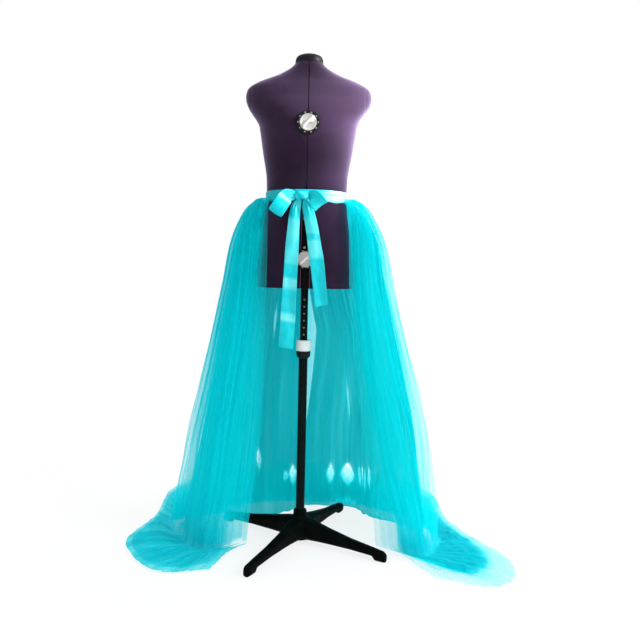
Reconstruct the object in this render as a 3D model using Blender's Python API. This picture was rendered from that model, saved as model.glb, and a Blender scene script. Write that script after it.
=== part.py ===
"""Open-front tulle overskirt with a train, tied round a limbless dress form on a pole stand.

Lengths are in metres and +Z is up. The front of the form faces -Y. The pieces are modelled
about the pole's axis, and an empty then carries them to their place in the frame, whose
origin lies on the floor under the middle of the whole object.
"""
import math

import bmesh
import bpy
import numpy as np
from mathutils import Matrix, Vector

# ---- frame and clearances ---------------------------------------------------------------
POLE_X = -0.0391         # the pole's axis, from the middle of the train's outline
POLE_Y = -0.2505
SEAM_GAP = 0.0003        # between pieces that touch

# ---- stand ------------------------------------------------------------------------------
LOWER_TUBE_R = 0.0138
UPPER_TUBE_R = 0.0118
TUBE_WALL = 0.0017
LOWER_TUBE_TOP = 0.5985
LOWER_TUBE_FOOT = 0.0403
UPPER_TUBE_FOOT = 0.470
SOCKET_TOP = 0.860       # how far the pole reaches up into the form
HEIGHT_HOLE_R = 0.0019
HEIGHT_HOLE_PITCH = 0.022
HEIGHT_HOLE_FIRST = 0.652
HEIGHT_HOLE_COUNT = 6
RING_R = 0.0238
RING_BOTTOM = 0.600
RING_TOP = 0.6345
RING_ROUNDING = 0.003
COLLAR_BOTTOM = 0.577
# outline of the collar under the ring, upwards: radius and height above its lower end
COLLAR_OUTLINE = ((0.0168, 0.0), (0.0218, 0.0070), (0.0228, 0.0197), (0.0218, 0.0227))
TUBE_SIDES = 20
# outline of the cast hub, upwards: radius and height
HUB_OUTLINE = ((0.036, 0.0100), (0.038, 0.0260), (0.034, 0.0560), (0.026, 0.0740),
               (0.0215, 0.0790), (0.0215, 0.0956), (0.0195, 0.0976))
LEG_FIRST_ANGLE = -30.0  # degrees, then one leg every quarter turn
LEG_COUNT = 4
LEG_CHAMFER = 0.45       # share of the leg's half thickness
# the leg from the hub outwards: distance, underside, top, half width
LEG_SECTIONS = (
    (0.020, 0.0115, 0.0720, 0.0300),
    (0.045, 0.0115, 0.0690, 0.0255),
    (0.072, 0.0117, 0.0640, 0.0195),
    (0.105, 0.0120, 0.0570, 0.0160),
    (0.180, 0.0130, 0.0430, 0.0140),
    (0.254, 0.0110, 0.0330, 0.0130),
    (0.262, 0.0000, 0.0320, 0.0135),
    (0.286, 0.0000, 0.0290, 0.0125),
    (0.296, 0.0000, 0.0220, 0.0085),
)

# ---- dress form -------------------------------------------------------------------------
FORM_SQUARENESS = 2.2    # exponent of the sections, 2 is an ellipse
FORM_RING_POINTS = 36
# height, half width, front depth, back depth, width and depth of the gap at centre front
FORM_SECTIONS = (
    (1.5170, 0.0460, 0.0450, 0.0480, 0.0030, 0.0030),
    (1.5040, 0.0500, 0.0470, 0.0500, 0.0030, 0.0030),
    (1.4870, 0.0680, 0.0500, 0.0560, 0.0030, 0.0030),
    (1.4680, 0.1050, 0.0540, 0.0620, 0.0030, 0.0030),
    (1.4480, 0.1580, 0.0600, 0.0680, 0.0030, 0.0030),
    (1.4300, 0.1880, 0.0680, 0.0740, 0.0030, 0.0030),
    (1.4110, 0.1975, 0.0760, 0.0800, 0.0030, 0.0030),
    (1.3900, 0.1980, 0.0850, 0.0860, 0.0030, 0.0030),
    (1.3710, 0.1920, 0.0940, 0.0910, 0.0030, 0.0030),
    (1.3520, 0.1815, 0.1020, 0.0950, 0.0030, 0.0030),
    (1.3325, 0.1670, 0.1090, 0.0980, 0.0030, 0.0030),
    (1.3135, 0.1560, 0.1145, 0.1000, 0.0030, 0.0030),
    (1.2900, 0.1510, 0.1180, 0.1010, 0.0030, 0.0030),
    (1.2650, 0.1470, 0.1200, 0.1000, 0.0030, 0.0030),
    (1.2380, 0.1430, 0.1175, 0.0970, 0.0030, 0.0030),
    (1.2100, 0.1385, 0.1110, 0.0930, 0.0030, 0.0030),
    (1.1800, 0.1330, 0.1030, 0.0890, 0.0030, 0.0030),
    (1.1500, 0.1285, 0.0975, 0.0860, 0.0030, 0.0030),
    (1.1200, 0.1270, 0.0950, 0.0850, 0.0030, 0.0030),
    (1.0600, 0.1270, 0.0950, 0.0850, 0.0190, 0.0120),
    (1.0200, 0.1315, 0.0980, 0.0920, 0.0255, 0.0160),
    (0.9700, 0.1390, 0.1040, 0.1040, 0.0275, 0.0160),
    (0.9200, 0.1455, 0.1100, 0.1160, 0.0285, 0.0160),
    (0.8800, 0.1495, 0.1130, 0.1220, 0.0290, 0.0160),
    (0.8400, 0.1520, 0.1140, 0.1240, 0.0290, 0.0160),
    (0.8000, 0.1525, 0.1140, 0.1230, 0.0290, 0.0160),
)
# outline of the cap on the neck, upwards: radius and height above its foot
NECK_CAP_OUTLINE = ((0.0430, 0.0), (0.0430, 0.0120), (0.0400, 0.0170), (0.0258, 0.0195),
                    (0.0, 0.0200))

# ---- adjusting dials: height, bezel radius, disc radius, bezel back and bezel front ------
DIALS = {
    "chest": (1.2980, 0.0370, 0.0290, 0.1003, 0.1215),
    "hip": (0.8880, 0.0300, 0.0245, 0.0950, 0.1165),
}
DIAL_RECESS = 0.0090     # depth of the cup that the disc turns in
DIAL_CLEARANCE = 0.0005
DIAL_PROUD = 0.0020
DIAL_SIDES = 28
BEZEL_ROUNDING = 0.0020
DISC_ROUNDING = 0.0010
GRIP_HEIGHT = 0.0070
GRIP_ROOT = 0.0030       # how deep the grip is let into the disc
GRIP_TURN = 45.0         # degrees, the grip points up and to the right
# half outline of the grip from its tail to its head: share of the disc's radius, half width
GRIP_OUTLINE = ((-0.80, 0.0028), (0.10, 0.0036), (0.40, 0.0105), (0.86, 0.0020))

# ---- waistband and bow ------------------------------------------------------------------
BAND_BOTTOM = 1.0660
BAND_TOP = 1.1000
BAND_CLEARANCE = 0.0006
BAND_WALL = 0.0030
RIBBON_WIDTH = 0.0450
RIBBON_WALL = 0.0012
KNOT_CENTRE = (-0.010, -0.1135, 1.0810)
KNOT_SIZE = (0.040, 0.0285, 0.026)
KNOT_FULLNESS = 0.75     # exponent of the pillow, 1 is an ellipsoid
# length, droop below the horizontal in degrees at the knot and at the end, front to back
# depth, side, and how far the end swings forward
LOOPS = {
    "bow_loop_left": (0.088, 8.0, 66.0, 0.030, -1.0, 0.020),
    "bow_loop_right": (0.054, 6.0, 70.0, 0.034, 1.0, 0.026),
}
LOOP_ROOT_WIDTH = 0.020
LOOP_WIDENING = 2.6      # the ribbon has its full width this many times sooner than its end
LOOP_ROOT_DEPTH = 0.36   # depth at the knot, as a share of the depth at the end
LOOP_OPENING = 34.0      # degrees of the oval that are left out on each side of the knot
LOOP_STEPS = 18
LOOP_SEAT = 0.0006       # how far the two ends of a loop reach past the knot's ridge
# the ribbon ends, from the knot down: across, depth, height, width
TAILS = {
    "bow_tail_left": (
        (-0.0210, -0.1085, 1.0677, 0.0150),
        (-0.0300, -0.1045, 1.0500, 0.0280),
        (-0.0350, -0.1130, 1.0200, 0.0330),
        (-0.0370, -0.1230, 0.9900, 0.0350),
        (-0.0395, -0.1320, 0.9350, 0.0390),
        (-0.0415, -0.1365, 0.8850, 0.0400),
        (-0.0440, -0.1350, 0.8200, 0.0410),
        (-0.0480, -0.1320, 0.7200, 0.0440),
        (-0.0535, -0.1300, 0.6090, 0.0440),
    ),
    "bow_tail_right": (
        (-0.0050, -0.1085, 1.0677, 0.0140),
        (0.0030, -0.1035, 1.0480, 0.0310),
        (0.0115, -0.1080, 1.0130, 0.0360),
        (0.0200, -0.1200, 0.9700, 0.0380),
        (0.0270, -0.1350, 0.9250, 0.0405),
        (0.0340, -0.1380, 0.8850, 0.0415),
        (0.0435, -0.1360, 0.8100, 0.0420),
        (0.0520, -0.1340, 0.7440, 0.0420),
    ),
}

# ---- tulle ------------------------------------------------------------------------------
SEAM_Z = BAND_BOTTOM - SEAM_GAP
SEAM_OFFSET = 0.0030     # the outer layer's seam line, out from the form
# one row for each line down the cloth, from the left front edge round the back to the
# right one: its angle at the waist from the back in degrees, and where it passes in plan
# at hip height, at knee height, where it meets the floor and at the hem
MERIDIANS = (
    # waist    hip x   hip y    knee x  knee y   floor x floor y  hem x   hem y
    (-118.0, -0.114, -0.112, -0.126, -0.100, -0.172, -0.055, -0.262, -0.200),
    (-98.0, -0.172, -0.105, -0.224, -0.112, -0.284, -0.105, -0.410, -0.204),
    (-80.0, -0.222, -0.058, -0.308, -0.048, -0.366, -0.030, -0.538, -0.042),
    (-61.0, -0.244, 0.020, -0.342, 0.060, -0.402, 0.110, -0.495, 0.165),
    (-41.0, -0.207, 0.112, -0.298, 0.180, -0.336, 0.222, -0.488, 0.440),
    (-20.0, -0.120, 0.180, -0.175, 0.262, -0.203, 0.304, -0.330, 0.690),
    (0.0, 0.000, 0.203, 0.000, 0.288, 0.000, 0.338, 0.000, 0.785),
    (20.0, 0.122, 0.180, 0.178, 0.262, 0.208, 0.314, 0.335, 0.690),
    (41.0, 0.222, 0.112, 0.318, 0.180, 0.350, 0.222, 0.498, 0.440),
    (61.0, 0.265, 0.020, 0.372, 0.055, 0.430, 0.105, 0.512, 0.150),
    (80.0, 0.240, -0.058, 0.346, -0.050, 0.428, -0.055, 0.618, -0.125),
    (98.0, 0.188, -0.104, 0.272, -0.108, 0.360, -0.120, 0.545, -0.280),
    (118.0, 0.132, -0.112, 0.188, -0.095, 0.248, -0.045, 0.385, -0.236),
)
# one row for each height: distance run down the cloth, height, the two places it lies
# between with the share of the way, pleat depth, depth of the broad waves, wall, and how
# far the dense inner layers lie inside and under the outer one
WAIST, HIP, KNEE, FLOOR, HEM = range(5)
RUN, HEIGHT, START, END, SHARE, PLEAT, BROAD, WALL, INSET, SINK = range(10)
LEVELS = (
    # run    height  from   to     share pleat   broad   wall    inset   sink
    (0.000, SEAM_Z, WAIST, HIP, 0.00, 0.0003, 0.0000, 0.0014, 0.0020, 0.0000),
    (0.010, 1.0635, WAIST, HIP, 0.07, 0.0010, 0.0000, 0.0016, 0.0040, 0.0045),
    (0.034, 1.0740, WAIST, HIP, 0.25, 0.0040, 0.0015, 0.0018, 0.0100, 0.0140),
    (0.078, 1.0510, WAIST, HIP, 0.50, 0.0070, 0.0030, 0.0020, 0.0150, 0.0140),
    (0.150, 0.9850, WAIST, HIP, 0.73, 0.0090, 0.0060, 0.0020, 0.0190, 0.0100),
    (0.340, 0.8000, WAIST, HIP, 1.00, 0.0110, 0.0090, 0.0020, 0.0230, 0.0000),
    (0.790, 0.3600, HIP, KNEE, 1.00, 0.0150, 0.0130, 0.0020, 0.0380, 0.0000),
    (1.060, 0.0950, KNEE, FLOOR, 0.68, 0.0130, 0.0090, 0.0020, 0.0420, 0.0000),
    (1.170, 0.0000, KNEE, FLOOR, 1.00, 0.0080, 0.0040, 0.0020, 0.0450, 0.0000),
    (1.370, 0.0000, FLOOR, HEM, 1.00, 0.0050, 0.0000, 0.0020, 0.0240, 0.0000),
)
FLOOR_LEVEL = 8          # the row of LEVELS where the cloth reaches the floor
OUTER_STATIONS = (0.0, 0.010, 0.034, 0.078, 0.150, 0.270, 0.450, 0.700, 0.920, 1.070,
                  1.170, 1.270, 1.370)
INNER_STATIONS = (0.0, 0.010, 0.040, 0.100, 0.220, 0.420, 0.700, 0.940, 1.080, 1.170,
                  1.370)
OUTER_PLEATS = 32
# the widths of net side by side in the outer layer, and the pleats that each one starts and
# ends at; the seams between them lie in valleys
OUTER_PANELS = (
    ("tulle_outer_left_front", 0.0, 5.5),
    ("tulle_outer_left_side", 5.5, 10.5),
    ("tulle_outer_left_back", 10.5, 15.5),
    ("tulle_outer_right_back", 15.5, 21.5),
    ("tulle_outer_right_side", 21.5, 26.5),
    ("tulle_outer_right_front", 26.5, 32.0),
)
INNER_PLEATS = 10        # in each half
# the widths of net in the two halves of the inner layers: true for the left half, and the
# pleats of the half that each one starts and ends at
INNER_PANELS = (
    ("tulle_inner_left_front", True, 0.0, 3.5),
    ("tulle_inner_left_side", True, 3.5, 6.5),
    ("tulle_inner_left_back", True, 6.5, 10.0),
    ("tulle_inner_right_back", False, 0.0, 3.5),
    ("tulle_inner_right_side", False, 3.5, 6.5),
    ("tulle_inner_right_front", False, 6.5, 10.0),
)
PLEAT_POINTS = 4         # crest, flank, valley, flank
PLEAT_DRIFT = 0.30       # how far the pleats wander from even spacing, in pleats
PLEAT_DRIFT_LENGTH = 5.3 # pleats in one wander
PLEAT_STRENGTH = (0.74, 0.26, 2.1, 0.7)    # mean, swing, radians a pleat and phase
BROAD_WAVES = 9.0
BROAD_PHASE = 0.6
EDGE_CALM = 0.20         # share of the folds' depth that is left at the two front edges
EDGE_REACH = 0.20        # share of the cloth's width over which the folds deepen
FLOOR_RUMPLE = 0.012     # height of the broad rumples in the lying cloth
RUMPLE_WAVES = 5.0
RUMPLE_TURN = 31.0       # radians that the rumples shift for each metre of run
FOLD_OVER_RUN = 0.100    # run on the floor in which standing pleats lie down
LYING_WALL = 1.5         # thickness of the lying cloth, in walls, before its rumples
FIRST_HEAP = 0.15        # share of the rumples' height at the landing line
HEM_HEAP = 0.80
INNER_EDGE = 0.040       # share of the cloth's width that the inner layers stop short
SLIT_CLOSED = 0.0035     # half the parting of the inner layers at the back, as a share
SLIT_OPEN = 0.0200

# ---- colours: red, green, blue, roughness, metallic ---------------------------------------
FINISHES = {
    "tulle": (0.020, 0.620, 0.700, 0.80, 0.0),
    "tulle_dense": (0.010, 0.520, 0.600, 0.85, 0.0),
    "satin": (0.020, 0.640, 0.700, 0.30, 0.0),
    "jersey": (0.050, 0.020, 0.070, 0.85, 0.0),
    "black_plastic": (0.012, 0.012, 0.013, 0.45, 0.0),
    "silver": (0.720, 0.710, 0.700, 0.35, 0.6),
    "white_plastic": (0.850, 0.850, 0.840, 0.40, 0.0),
    "black_paint": (0.010, 0.011, 0.011, 0.40, 0.2),
    "cast_iron": (0.008, 0.008, 0.009, 0.55, 0.2),
}


# ---- shared helpers -----------------------------------------------------------------------
def clear_scene():
    """Remove every object that is already there."""
    for item in list(bpy.data.objects):
        bpy.data.objects.remove(item, do_unlink=True)


def finish(name):
    """Return the Principled material of one finish, made the first time it is asked for."""
    material = bpy.data.materials.get(name)
    if material is None:
        red, green, blue, roughness, metallic = FINISHES[name]
        material = bpy.data.materials.new(name)
        material.use_nodes = True
        shader = material.node_tree.nodes["Principled BSDF"]
        shader.inputs["Base Color"].default_value = (red, green, blue, 1.0)
        shader.inputs["Roughness"].default_value = roughness
        shader.inputs["Metallic"].default_value = metallic
    return material


def add_object(name, shape, look, parent, location=(0.0, 0.0, 0.0), sharp=40.0):
    """Turn a bmesh into a named object with its own material, under the parent."""
    mesh = bpy.data.meshes.new(name)
    shape.to_mesh(mesh)
    shape.free()
    mesh.shade_smooth()
    mesh.set_sharp_from_angle(angle=math.radians(sharp))
    item = bpy.data.objects.new(name, mesh)
    mesh.materials.append(finish(look))
    item.location = location
    item.parent = parent
    bpy.context.scene.collection.objects.link(item)
    return item


def hide_tool(item):
    """Mark an object that only cuts or joins another one."""
    item.hide_render = True
    item.display_type = "WIRE"


def apply_shape(target, tool, operation):
    """Cut a tool from the target, or join it on."""
    hide_tool(tool)
    modifier = target.modifiers.new(tool.name, "BOOLEAN")
    modifier.operation = operation
    modifier.object = tool


def face_outwards(shape):
    """Point the faces of a closed shape away from its inside."""
    bmesh.ops.recalc_face_normals(shape, faces=shape.faces)
    if shape.calc_volume(signed=True) < 0:
        bmesh.ops.reverse_faces(shape, faces=shape.faces)


def turned(profile, sides):
    """Spin a closed outline of (radius, height) points about the upright axis."""
    shape = bmesh.new()
    points = [shape.verts.new((radius, 0.0, height)) for radius, height in profile]
    edges = []
    for index, point in enumerate(points):
        following = points[(index + 1) % len(points)]
        on_axis = point.co.x == 0.0 and following.co.x == 0.0
        if not on_axis:
            edges.append(shape.edges.new((point, following)))
    bmesh.ops.spin(shape, geom=edges, cent=(0, 0, 0), axis=(0, 0, 1),
                   angle=math.tau, steps=sides, use_merge=True)
    bmesh.ops.remove_doubles(shape, verts=shape.verts, dist=1e-6)
    face_outwards(shape)
    return shape


def loft(rings):
    """Skin closed rings of equal count, from the first to the last, and cap both ends."""
    shape = bmesh.new()
    rows = [[shape.verts.new(point) for point in ring] for ring in rings]
    for upper, lower in zip(rows, rows[1:]):
        for index in range(len(upper)):
            after = (index + 1) % len(upper)
            shape.faces.new((upper[index], upper[after], lower[after], lower[index]))
    shape.faces.new(rows[0])
    shape.faces.new(rows[-1])
    face_outwards(shape)
    return shape


def sheet_grid(shape, points):
    """Add an open grid of quads through an array of (row, column) points."""
    rows, columns = points.shape[:2]
    made = bmesh.ops.create_grid(shape, x_segments=columns - 1, y_segments=rows - 1, size=1.0)
    grid = np.array(made["verts"], dtype=object).reshape(rows, columns)
    for row in range(rows):
        for column in range(columns):
            grid[row, column].co = points[row, column]
    return grid


def rim(grid):
    """Return the border of a grid of vertices as one loop."""
    return [*grid[0, :-1], *grid[:-1, -1], *grid[-1, :0:-1], *grid[:0:-1, 0]]


def wall(outer, inner):
    """Close two grids of points, the faces of one cloth, into a thin solid."""
    shape = bmesh.new()
    front = rim(sheet_grid(shape, outer))
    back = rim(sheet_grid(shape, inner))
    # both faces are split along the same diagonals, so that the wall stays whole in folds
    bmesh.ops.triangulate(shape, faces=shape.faces, quad_method="FIXED")
    for index in range(len(front)):
        after = (index + 1) % len(front)
        # the edges on the two sides of a seam are split along the same diagonal
        if index < len(front) // 2:
            shape.faces.new((front[index], front[after], back[after]))
            shape.faces.new((front[index], back[after], back[index]))
        else:
            shape.faces.new((front[index], front[after], back[index]))
            shape.faces.new((front[after], back[after], back[index]))
    face_outwards(shape)
    return shape


def curve_through(knots, values, places):
    """Follow a smooth cubic through values given at knots, and read it at places."""
    knots = np.asarray(knots, dtype=float)
    values = np.asarray(values, dtype=float)
    places = np.asarray(places, dtype=float)
    steps = np.diff(knots)
    extra = (1,) * (values.ndim - 1)
    slopes = np.diff(values, axis=0) / steps.reshape(-1, *extra)
    tangents = np.empty_like(values)
    tangents[0] = slopes[0]
    tangents[-1] = slopes[-1]
    before = steps[:-1].reshape(-1, *extra)
    after = steps[1:].reshape(-1, *extra)
    tangents[1:-1] = (slopes[:-1] * after + slopes[1:] * before) / (before + after)
    span = np.clip(np.searchsorted(knots, places, side="right") - 1, 0, len(knots) - 2)
    width = steps[span].reshape(-1, *extra)
    t = ((places - knots[span]) / steps[span]).reshape(-1, *extra)
    return ((2 * t**3 - 3 * t**2 + 1) * values[span]
            + (t**3 - 2 * t**2 + t) * width * tangents[span]
            + (3 * t**2 - 2 * t**3) * values[span + 1]
            + (t**3 - t**2) * width * tangents[span + 1])


def unit(vectors):
    """Scale an array of vectors to length one."""
    return vectors / np.linalg.norm(vectors, axis=-1, keepdims=True)


# ---- dress form ---------------------------------------------------------------------------
def form_point(angle, half_width, front, back, offset=0.0):
    """Return the plan point of a section at an angle from the back, in radians."""
    power = 2.0 / FORM_SQUARENESS
    side = math.sin(angle)
    along = math.cos(angle)
    depth = (back if along > 0 else front) + offset
    x = (half_width + offset) * math.copysign(abs(side) ** power, side)
    y = depth * math.copysign(abs(along) ** power, along)
    return x, y


def form_size(height):
    """Return the half width, front depth and back depth of the form at a height."""
    table = np.array(FORM_SECTIONS[::-1])
    return [float(np.interp(height, table[:, 0], table[:, column])) for column in (1, 2, 3)]


def ring_angles():
    """Return the angles of a section's points, from the front right round to the left."""
    half_step = math.pi / FORM_RING_POINTS
    return [math.pi - half_step * (2 * index + 1) for index in range(FORM_RING_POINTS)]


def form_ring(height, half_width, front, back, gap_width, gap_depth):
    """Return one section of the form, with the gap at centre front."""
    half_gap = gap_width / 2
    lip = -front * (1 - (half_gap / half_width) ** FORM_SQUARENESS) ** (1 / FORM_SQUARENESS)
    ring = [(half_gap, lip + gap_depth, height), (half_gap, lip, height)]
    ring += [(*form_point(angle, half_width, front, back), height) for angle in ring_angles()]
    ring += [(-half_gap, lip, height), (-half_gap, lip + gap_depth, height)]
    return ring


def cylinder_tool(name, radius, start, end, parent, sides=32):
    """Make a round cutter between two points."""
    shape = bmesh.new()
    axis = Vector(end) - Vector(start)
    turn = axis.to_track_quat("Z", "Y").to_matrix().to_4x4()
    middle = Matrix.Translation((Vector(start) + Vector(end)) / 2)
    bmesh.ops.create_cone(shape, cap_ends=True, segments=sides, radius1=radius, radius2=radius,
                          depth=axis.length, matrix=middle @ turn)
    return add_object(name, shape, "black_plastic", parent)


def build_form(parent):
    """Build the torso with its pole socket and dial pockets, and the cap on the neck."""
    torso = add_object("torso", loft([form_ring(*row) for row in FORM_SECTIONS]), "jersey",
                       parent)
    for name, (height, bezel, _, back, front) in DIALS.items():
        pocket = cylinder_tool(f"{name}_pocket", bezel + SEAM_GAP,
                               (0, -front - 0.05, height), (0, -back + SEAM_GAP, height),
                               parent)
        apply_shape(torso, pocket, "DIFFERENCE")
    form_bottom = FORM_SECTIONS[-1][0]
    socket = cylinder_tool("pole_socket", UPPER_TUBE_R + SEAM_GAP,
                           (0, 0, form_bottom - 0.02), (0, 0, SOCKET_TOP), parent)
    apply_shape(torso, socket, "DIFFERENCE")
    foot = FORM_SECTIONS[0][0] + SEAM_GAP
    outline = [(radius, foot + height) for radius, height in NECK_CAP_OUTLINE]
    add_object("neck_cap", turned([(0.0, foot), *outline], TUBE_SIDES), "black_plastic", parent)


def build_dial(name, parent):
    """Build one black bezel and the silver dial that turns in it."""
    height, bezel, disc, back, front = DIALS[name]
    seat = front - DIAL_RECESS
    cup = ((0.0, back), (bezel, back), (bezel, front - BEZEL_ROUNDING),
           (bezel - BEZEL_ROUNDING, front), (disc + DIAL_CLEARANCE, front),
           (disc + DIAL_CLEARANCE, seat), (0.0, seat))
    face_forward = Matrix.Rotation(math.radians(90), 4, "X")
    shape = turned(cup, DIAL_SIDES)
    bmesh.ops.transform(shape, matrix=face_forward, verts=shape.verts)
    add_object(f"{name}_bezel", shape, "black_plastic", parent, location=(0, 0, height))
    under = seat + SEAM_GAP
    over = front + DIAL_PROUD
    plate = turned(((0.0, under), (disc, under), (disc, over - DISC_ROUNDING),
                    (disc - DISC_ROUNDING, over), (0.0, over)), DIAL_SIDES)
    bmesh.ops.transform(plate, matrix=face_forward, verts=plate.verts)
    dial = add_object(f"{name}_dial", plate, "silver", parent, location=(0, 0, height))
    grip = add_object(f"{name}_grip", grip_shape(disc, over), "silver", dial)
    apply_shape(dial, grip, "UNION")


def grip_shape(disc, over):
    """Make the wedge across a dial: a slim bar that widens to an arrow at its upper end."""
    lower = [(disc * share, -half) for share, half in GRIP_OUTLINE]
    # the arrow's barb stands on one side only
    upper = [(disc * share, half) for share, half in GRIP_OUTLINE if half != GRIP_OUTLINE[2][1]]
    outline = lower + upper[::-1]
    shape = bmesh.new()
    turn = Matrix.Rotation(math.radians(GRIP_TURN), 4, "Z")
    face_forward = Matrix.Rotation(math.radians(90), 4, "X")
    base = [shape.verts.new((along, across, over - GRIP_ROOT)) for along, across in outline]
    shape.faces.new(base)
    raised = bmesh.ops.extrude_face_region(shape, geom=shape.faces[:])
    lifted = [part for part in raised["geom"] if isinstance(part, bmesh.types.BMVert)]
    bmesh.ops.translate(shape, vec=(0, 0, GRIP_HEIGHT + GRIP_ROOT), verts=lifted)
    bmesh.ops.transform(shape, matrix=face_forward @ turn, verts=shape.verts)
    face_outwards(shape)
    return shape


# ---- stand --------------------------------------------------------------------------------
def tube_profile(outer, inner, low, high):
    """Return the closed outline of a plain tube."""
    return ((outer, low), (outer, high), (inner, high), (inner, low))


def leg_shape(angle):
    """Loft one cast leg with a flat foot, from the hub outwards."""
    rings = []
    for distance, under, top, half in LEG_SECTIONS:
        chamfer = min(half, (top - under) / 2) * LEG_CHAMFER
        flat = half - chamfer
        rings.append([(distance, -flat, under), (distance, flat, under),
                      (distance, half, under + chamfer), (distance, half, top - chamfer),
                      (distance, flat, top), (distance, -flat, top),
                      (distance, -half, top - chamfer), (distance, -half, under + chamfer)])
    shape = loft(rings)
    bmesh.ops.rotate(shape, cent=(0, 0, 0), verts=shape.verts,
                     matrix=Matrix.Rotation(angle, 3, "Z"))
    return shape


def build_stand(parent):
    """Build the base, the two tubes of the pole and the clamp between them."""
    bore = LOWER_TUBE_R + SEAM_GAP
    seat = LOWER_TUBE_FOOT - SEAM_GAP
    hub = ((0.0, HUB_OUTLINE[0][1]), *HUB_OUTLINE, (bore, HUB_OUTLINE[-1][1]), (bore, seat),
           (0.0, seat))
    base = add_object("base", turned(hub, TUBE_SIDES), "cast_iron", parent)
    for index in range(LEG_COUNT):
        angle = math.radians(LEG_FIRST_ANGLE + 360 / LEG_COUNT * index)
        leg = add_object(f"leg_{index + 1}", leg_shape(angle), "cast_iron", parent)
        apply_shape(base, leg, "UNION")
    add_object("pole_lower", turned(tube_profile(LOWER_TUBE_R, LOWER_TUBE_R - TUBE_WALL,
                                                 LOWER_TUBE_FOOT, LOWER_TUBE_TOP),
                                    TUBE_SIDES),
               "black_paint", parent)
    upper = add_object("pole_upper",
                       turned(tube_profile(UPPER_TUBE_R, UPPER_TUBE_R - TUBE_WALL,
                                           UPPER_TUBE_FOOT, SOCKET_TOP - SEAM_GAP),
                              TUBE_SIDES),
                       "black_paint", parent)
    for index in range(HEIGHT_HOLE_COUNT):
        height = HEIGHT_HOLE_FIRST + index * HEIGHT_HOLE_PITCH
        hole = cylinder_tool(f"height_hole_{index + 1}", HEIGHT_HOLE_R,
                             (0, -UPPER_TUBE_R * 1.5, height), (0, 0, height), parent,
                             sides=8)
        apply_shape(upper, hole, "DIFFERENCE")
    ring_bore = UPPER_TUBE_R + SEAM_GAP
    ring = ((ring_bore, RING_BOTTOM), (RING_R - RING_ROUNDING, RING_BOTTOM),
            (RING_R, RING_BOTTOM + RING_ROUNDING), (RING_R, RING_TOP - RING_ROUNDING),
            (RING_R - RING_ROUNDING, RING_TOP), (ring_bore, RING_TOP))
    add_object("clamp_ring", turned(ring, TUBE_SIDES), "white_plastic", parent)
    collar = [(radius, COLLAR_BOTTOM + height) for radius, height in COLLAR_OUTLINE]
    collar = [(bore, collar[0][1]), *collar, (bore, collar[-1][1])]
    add_object("clamp_collar", turned(collar, TUBE_SIDES), "black_plastic", parent)


# ---- tulle --------------------------------------------------------------------------------
def control_net(inner_layers=False):
    """Work out the cloth's guiding points, one row a level and one column a meridian."""
    size = form_size(SEAM_Z)
    seam_offset = SEAM_OFFSET
    plan = np.empty((5, len(MERIDIANS), 2))
    for column, row in enumerate(MERIDIANS):
        plan[WAIST, column] = form_point(math.radians(row[0]), *size, offset=seam_offset)
        plan[HIP, column] = row[1:3]
        plan[KNEE, column] = row[3:5]
        plan[FLOOR, column] = row[5:7]
        plan[HEM, column] = row[7:9]
    net = np.zeros((len(LEVELS), len(MERIDIANS), 3))
    for index, level in enumerate(LEVELS):
        place = plan[level[START]] * (1 - level[SHARE]) + plan[level[END]] * level[SHARE]
        height = level[HEIGHT]
        if inner_layers:
            if index > FLOOR_LEVEL:
                place = plan[FLOOR]
            place = place - outward(place) * level[INSET]
            height = height - level[SINK]
        net[index, :, :2] = place
        net[index, :, 2] = height
    return net


def outward(plan):
    """Return the unit normals of a plan curve that runs from left to right round the back."""
    along = unit(np.gradient(plan, axis=0))
    return np.stack((-along[:, 1], along[:, 0]), axis=1)


def level_value(column, places):
    """Read one column of the levels table at distances down the cloth."""
    return np.interp(places, [row[RUN] for row in LEVELS], [row[column] for row in LEVELS])


def pleat_columns(pleats):
    """Return where the pleats' points lie, from 0 to 1, and how far each stands out."""
    count = pleats * PLEAT_POINTS
    index = np.arange(count + 1)
    even = index / count
    uneven = even + PLEAT_DRIFT / pleats * np.sin(math.tau * even * pleats
                                                  / PLEAT_DRIFT_LENGTH)
    uneven = (uneven - uneven[0]) / (uneven[-1] - uneven[0])
    mean, swing, turn, phase = PLEAT_STRENGTH
    strength = mean + swing * np.sin(turn * (index // PLEAT_POINTS) + phase)
    wave = 0.5 + 0.5 * strength * np.cos(math.tau * index / PLEAT_POINTS)
    return uneven, wave


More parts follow.
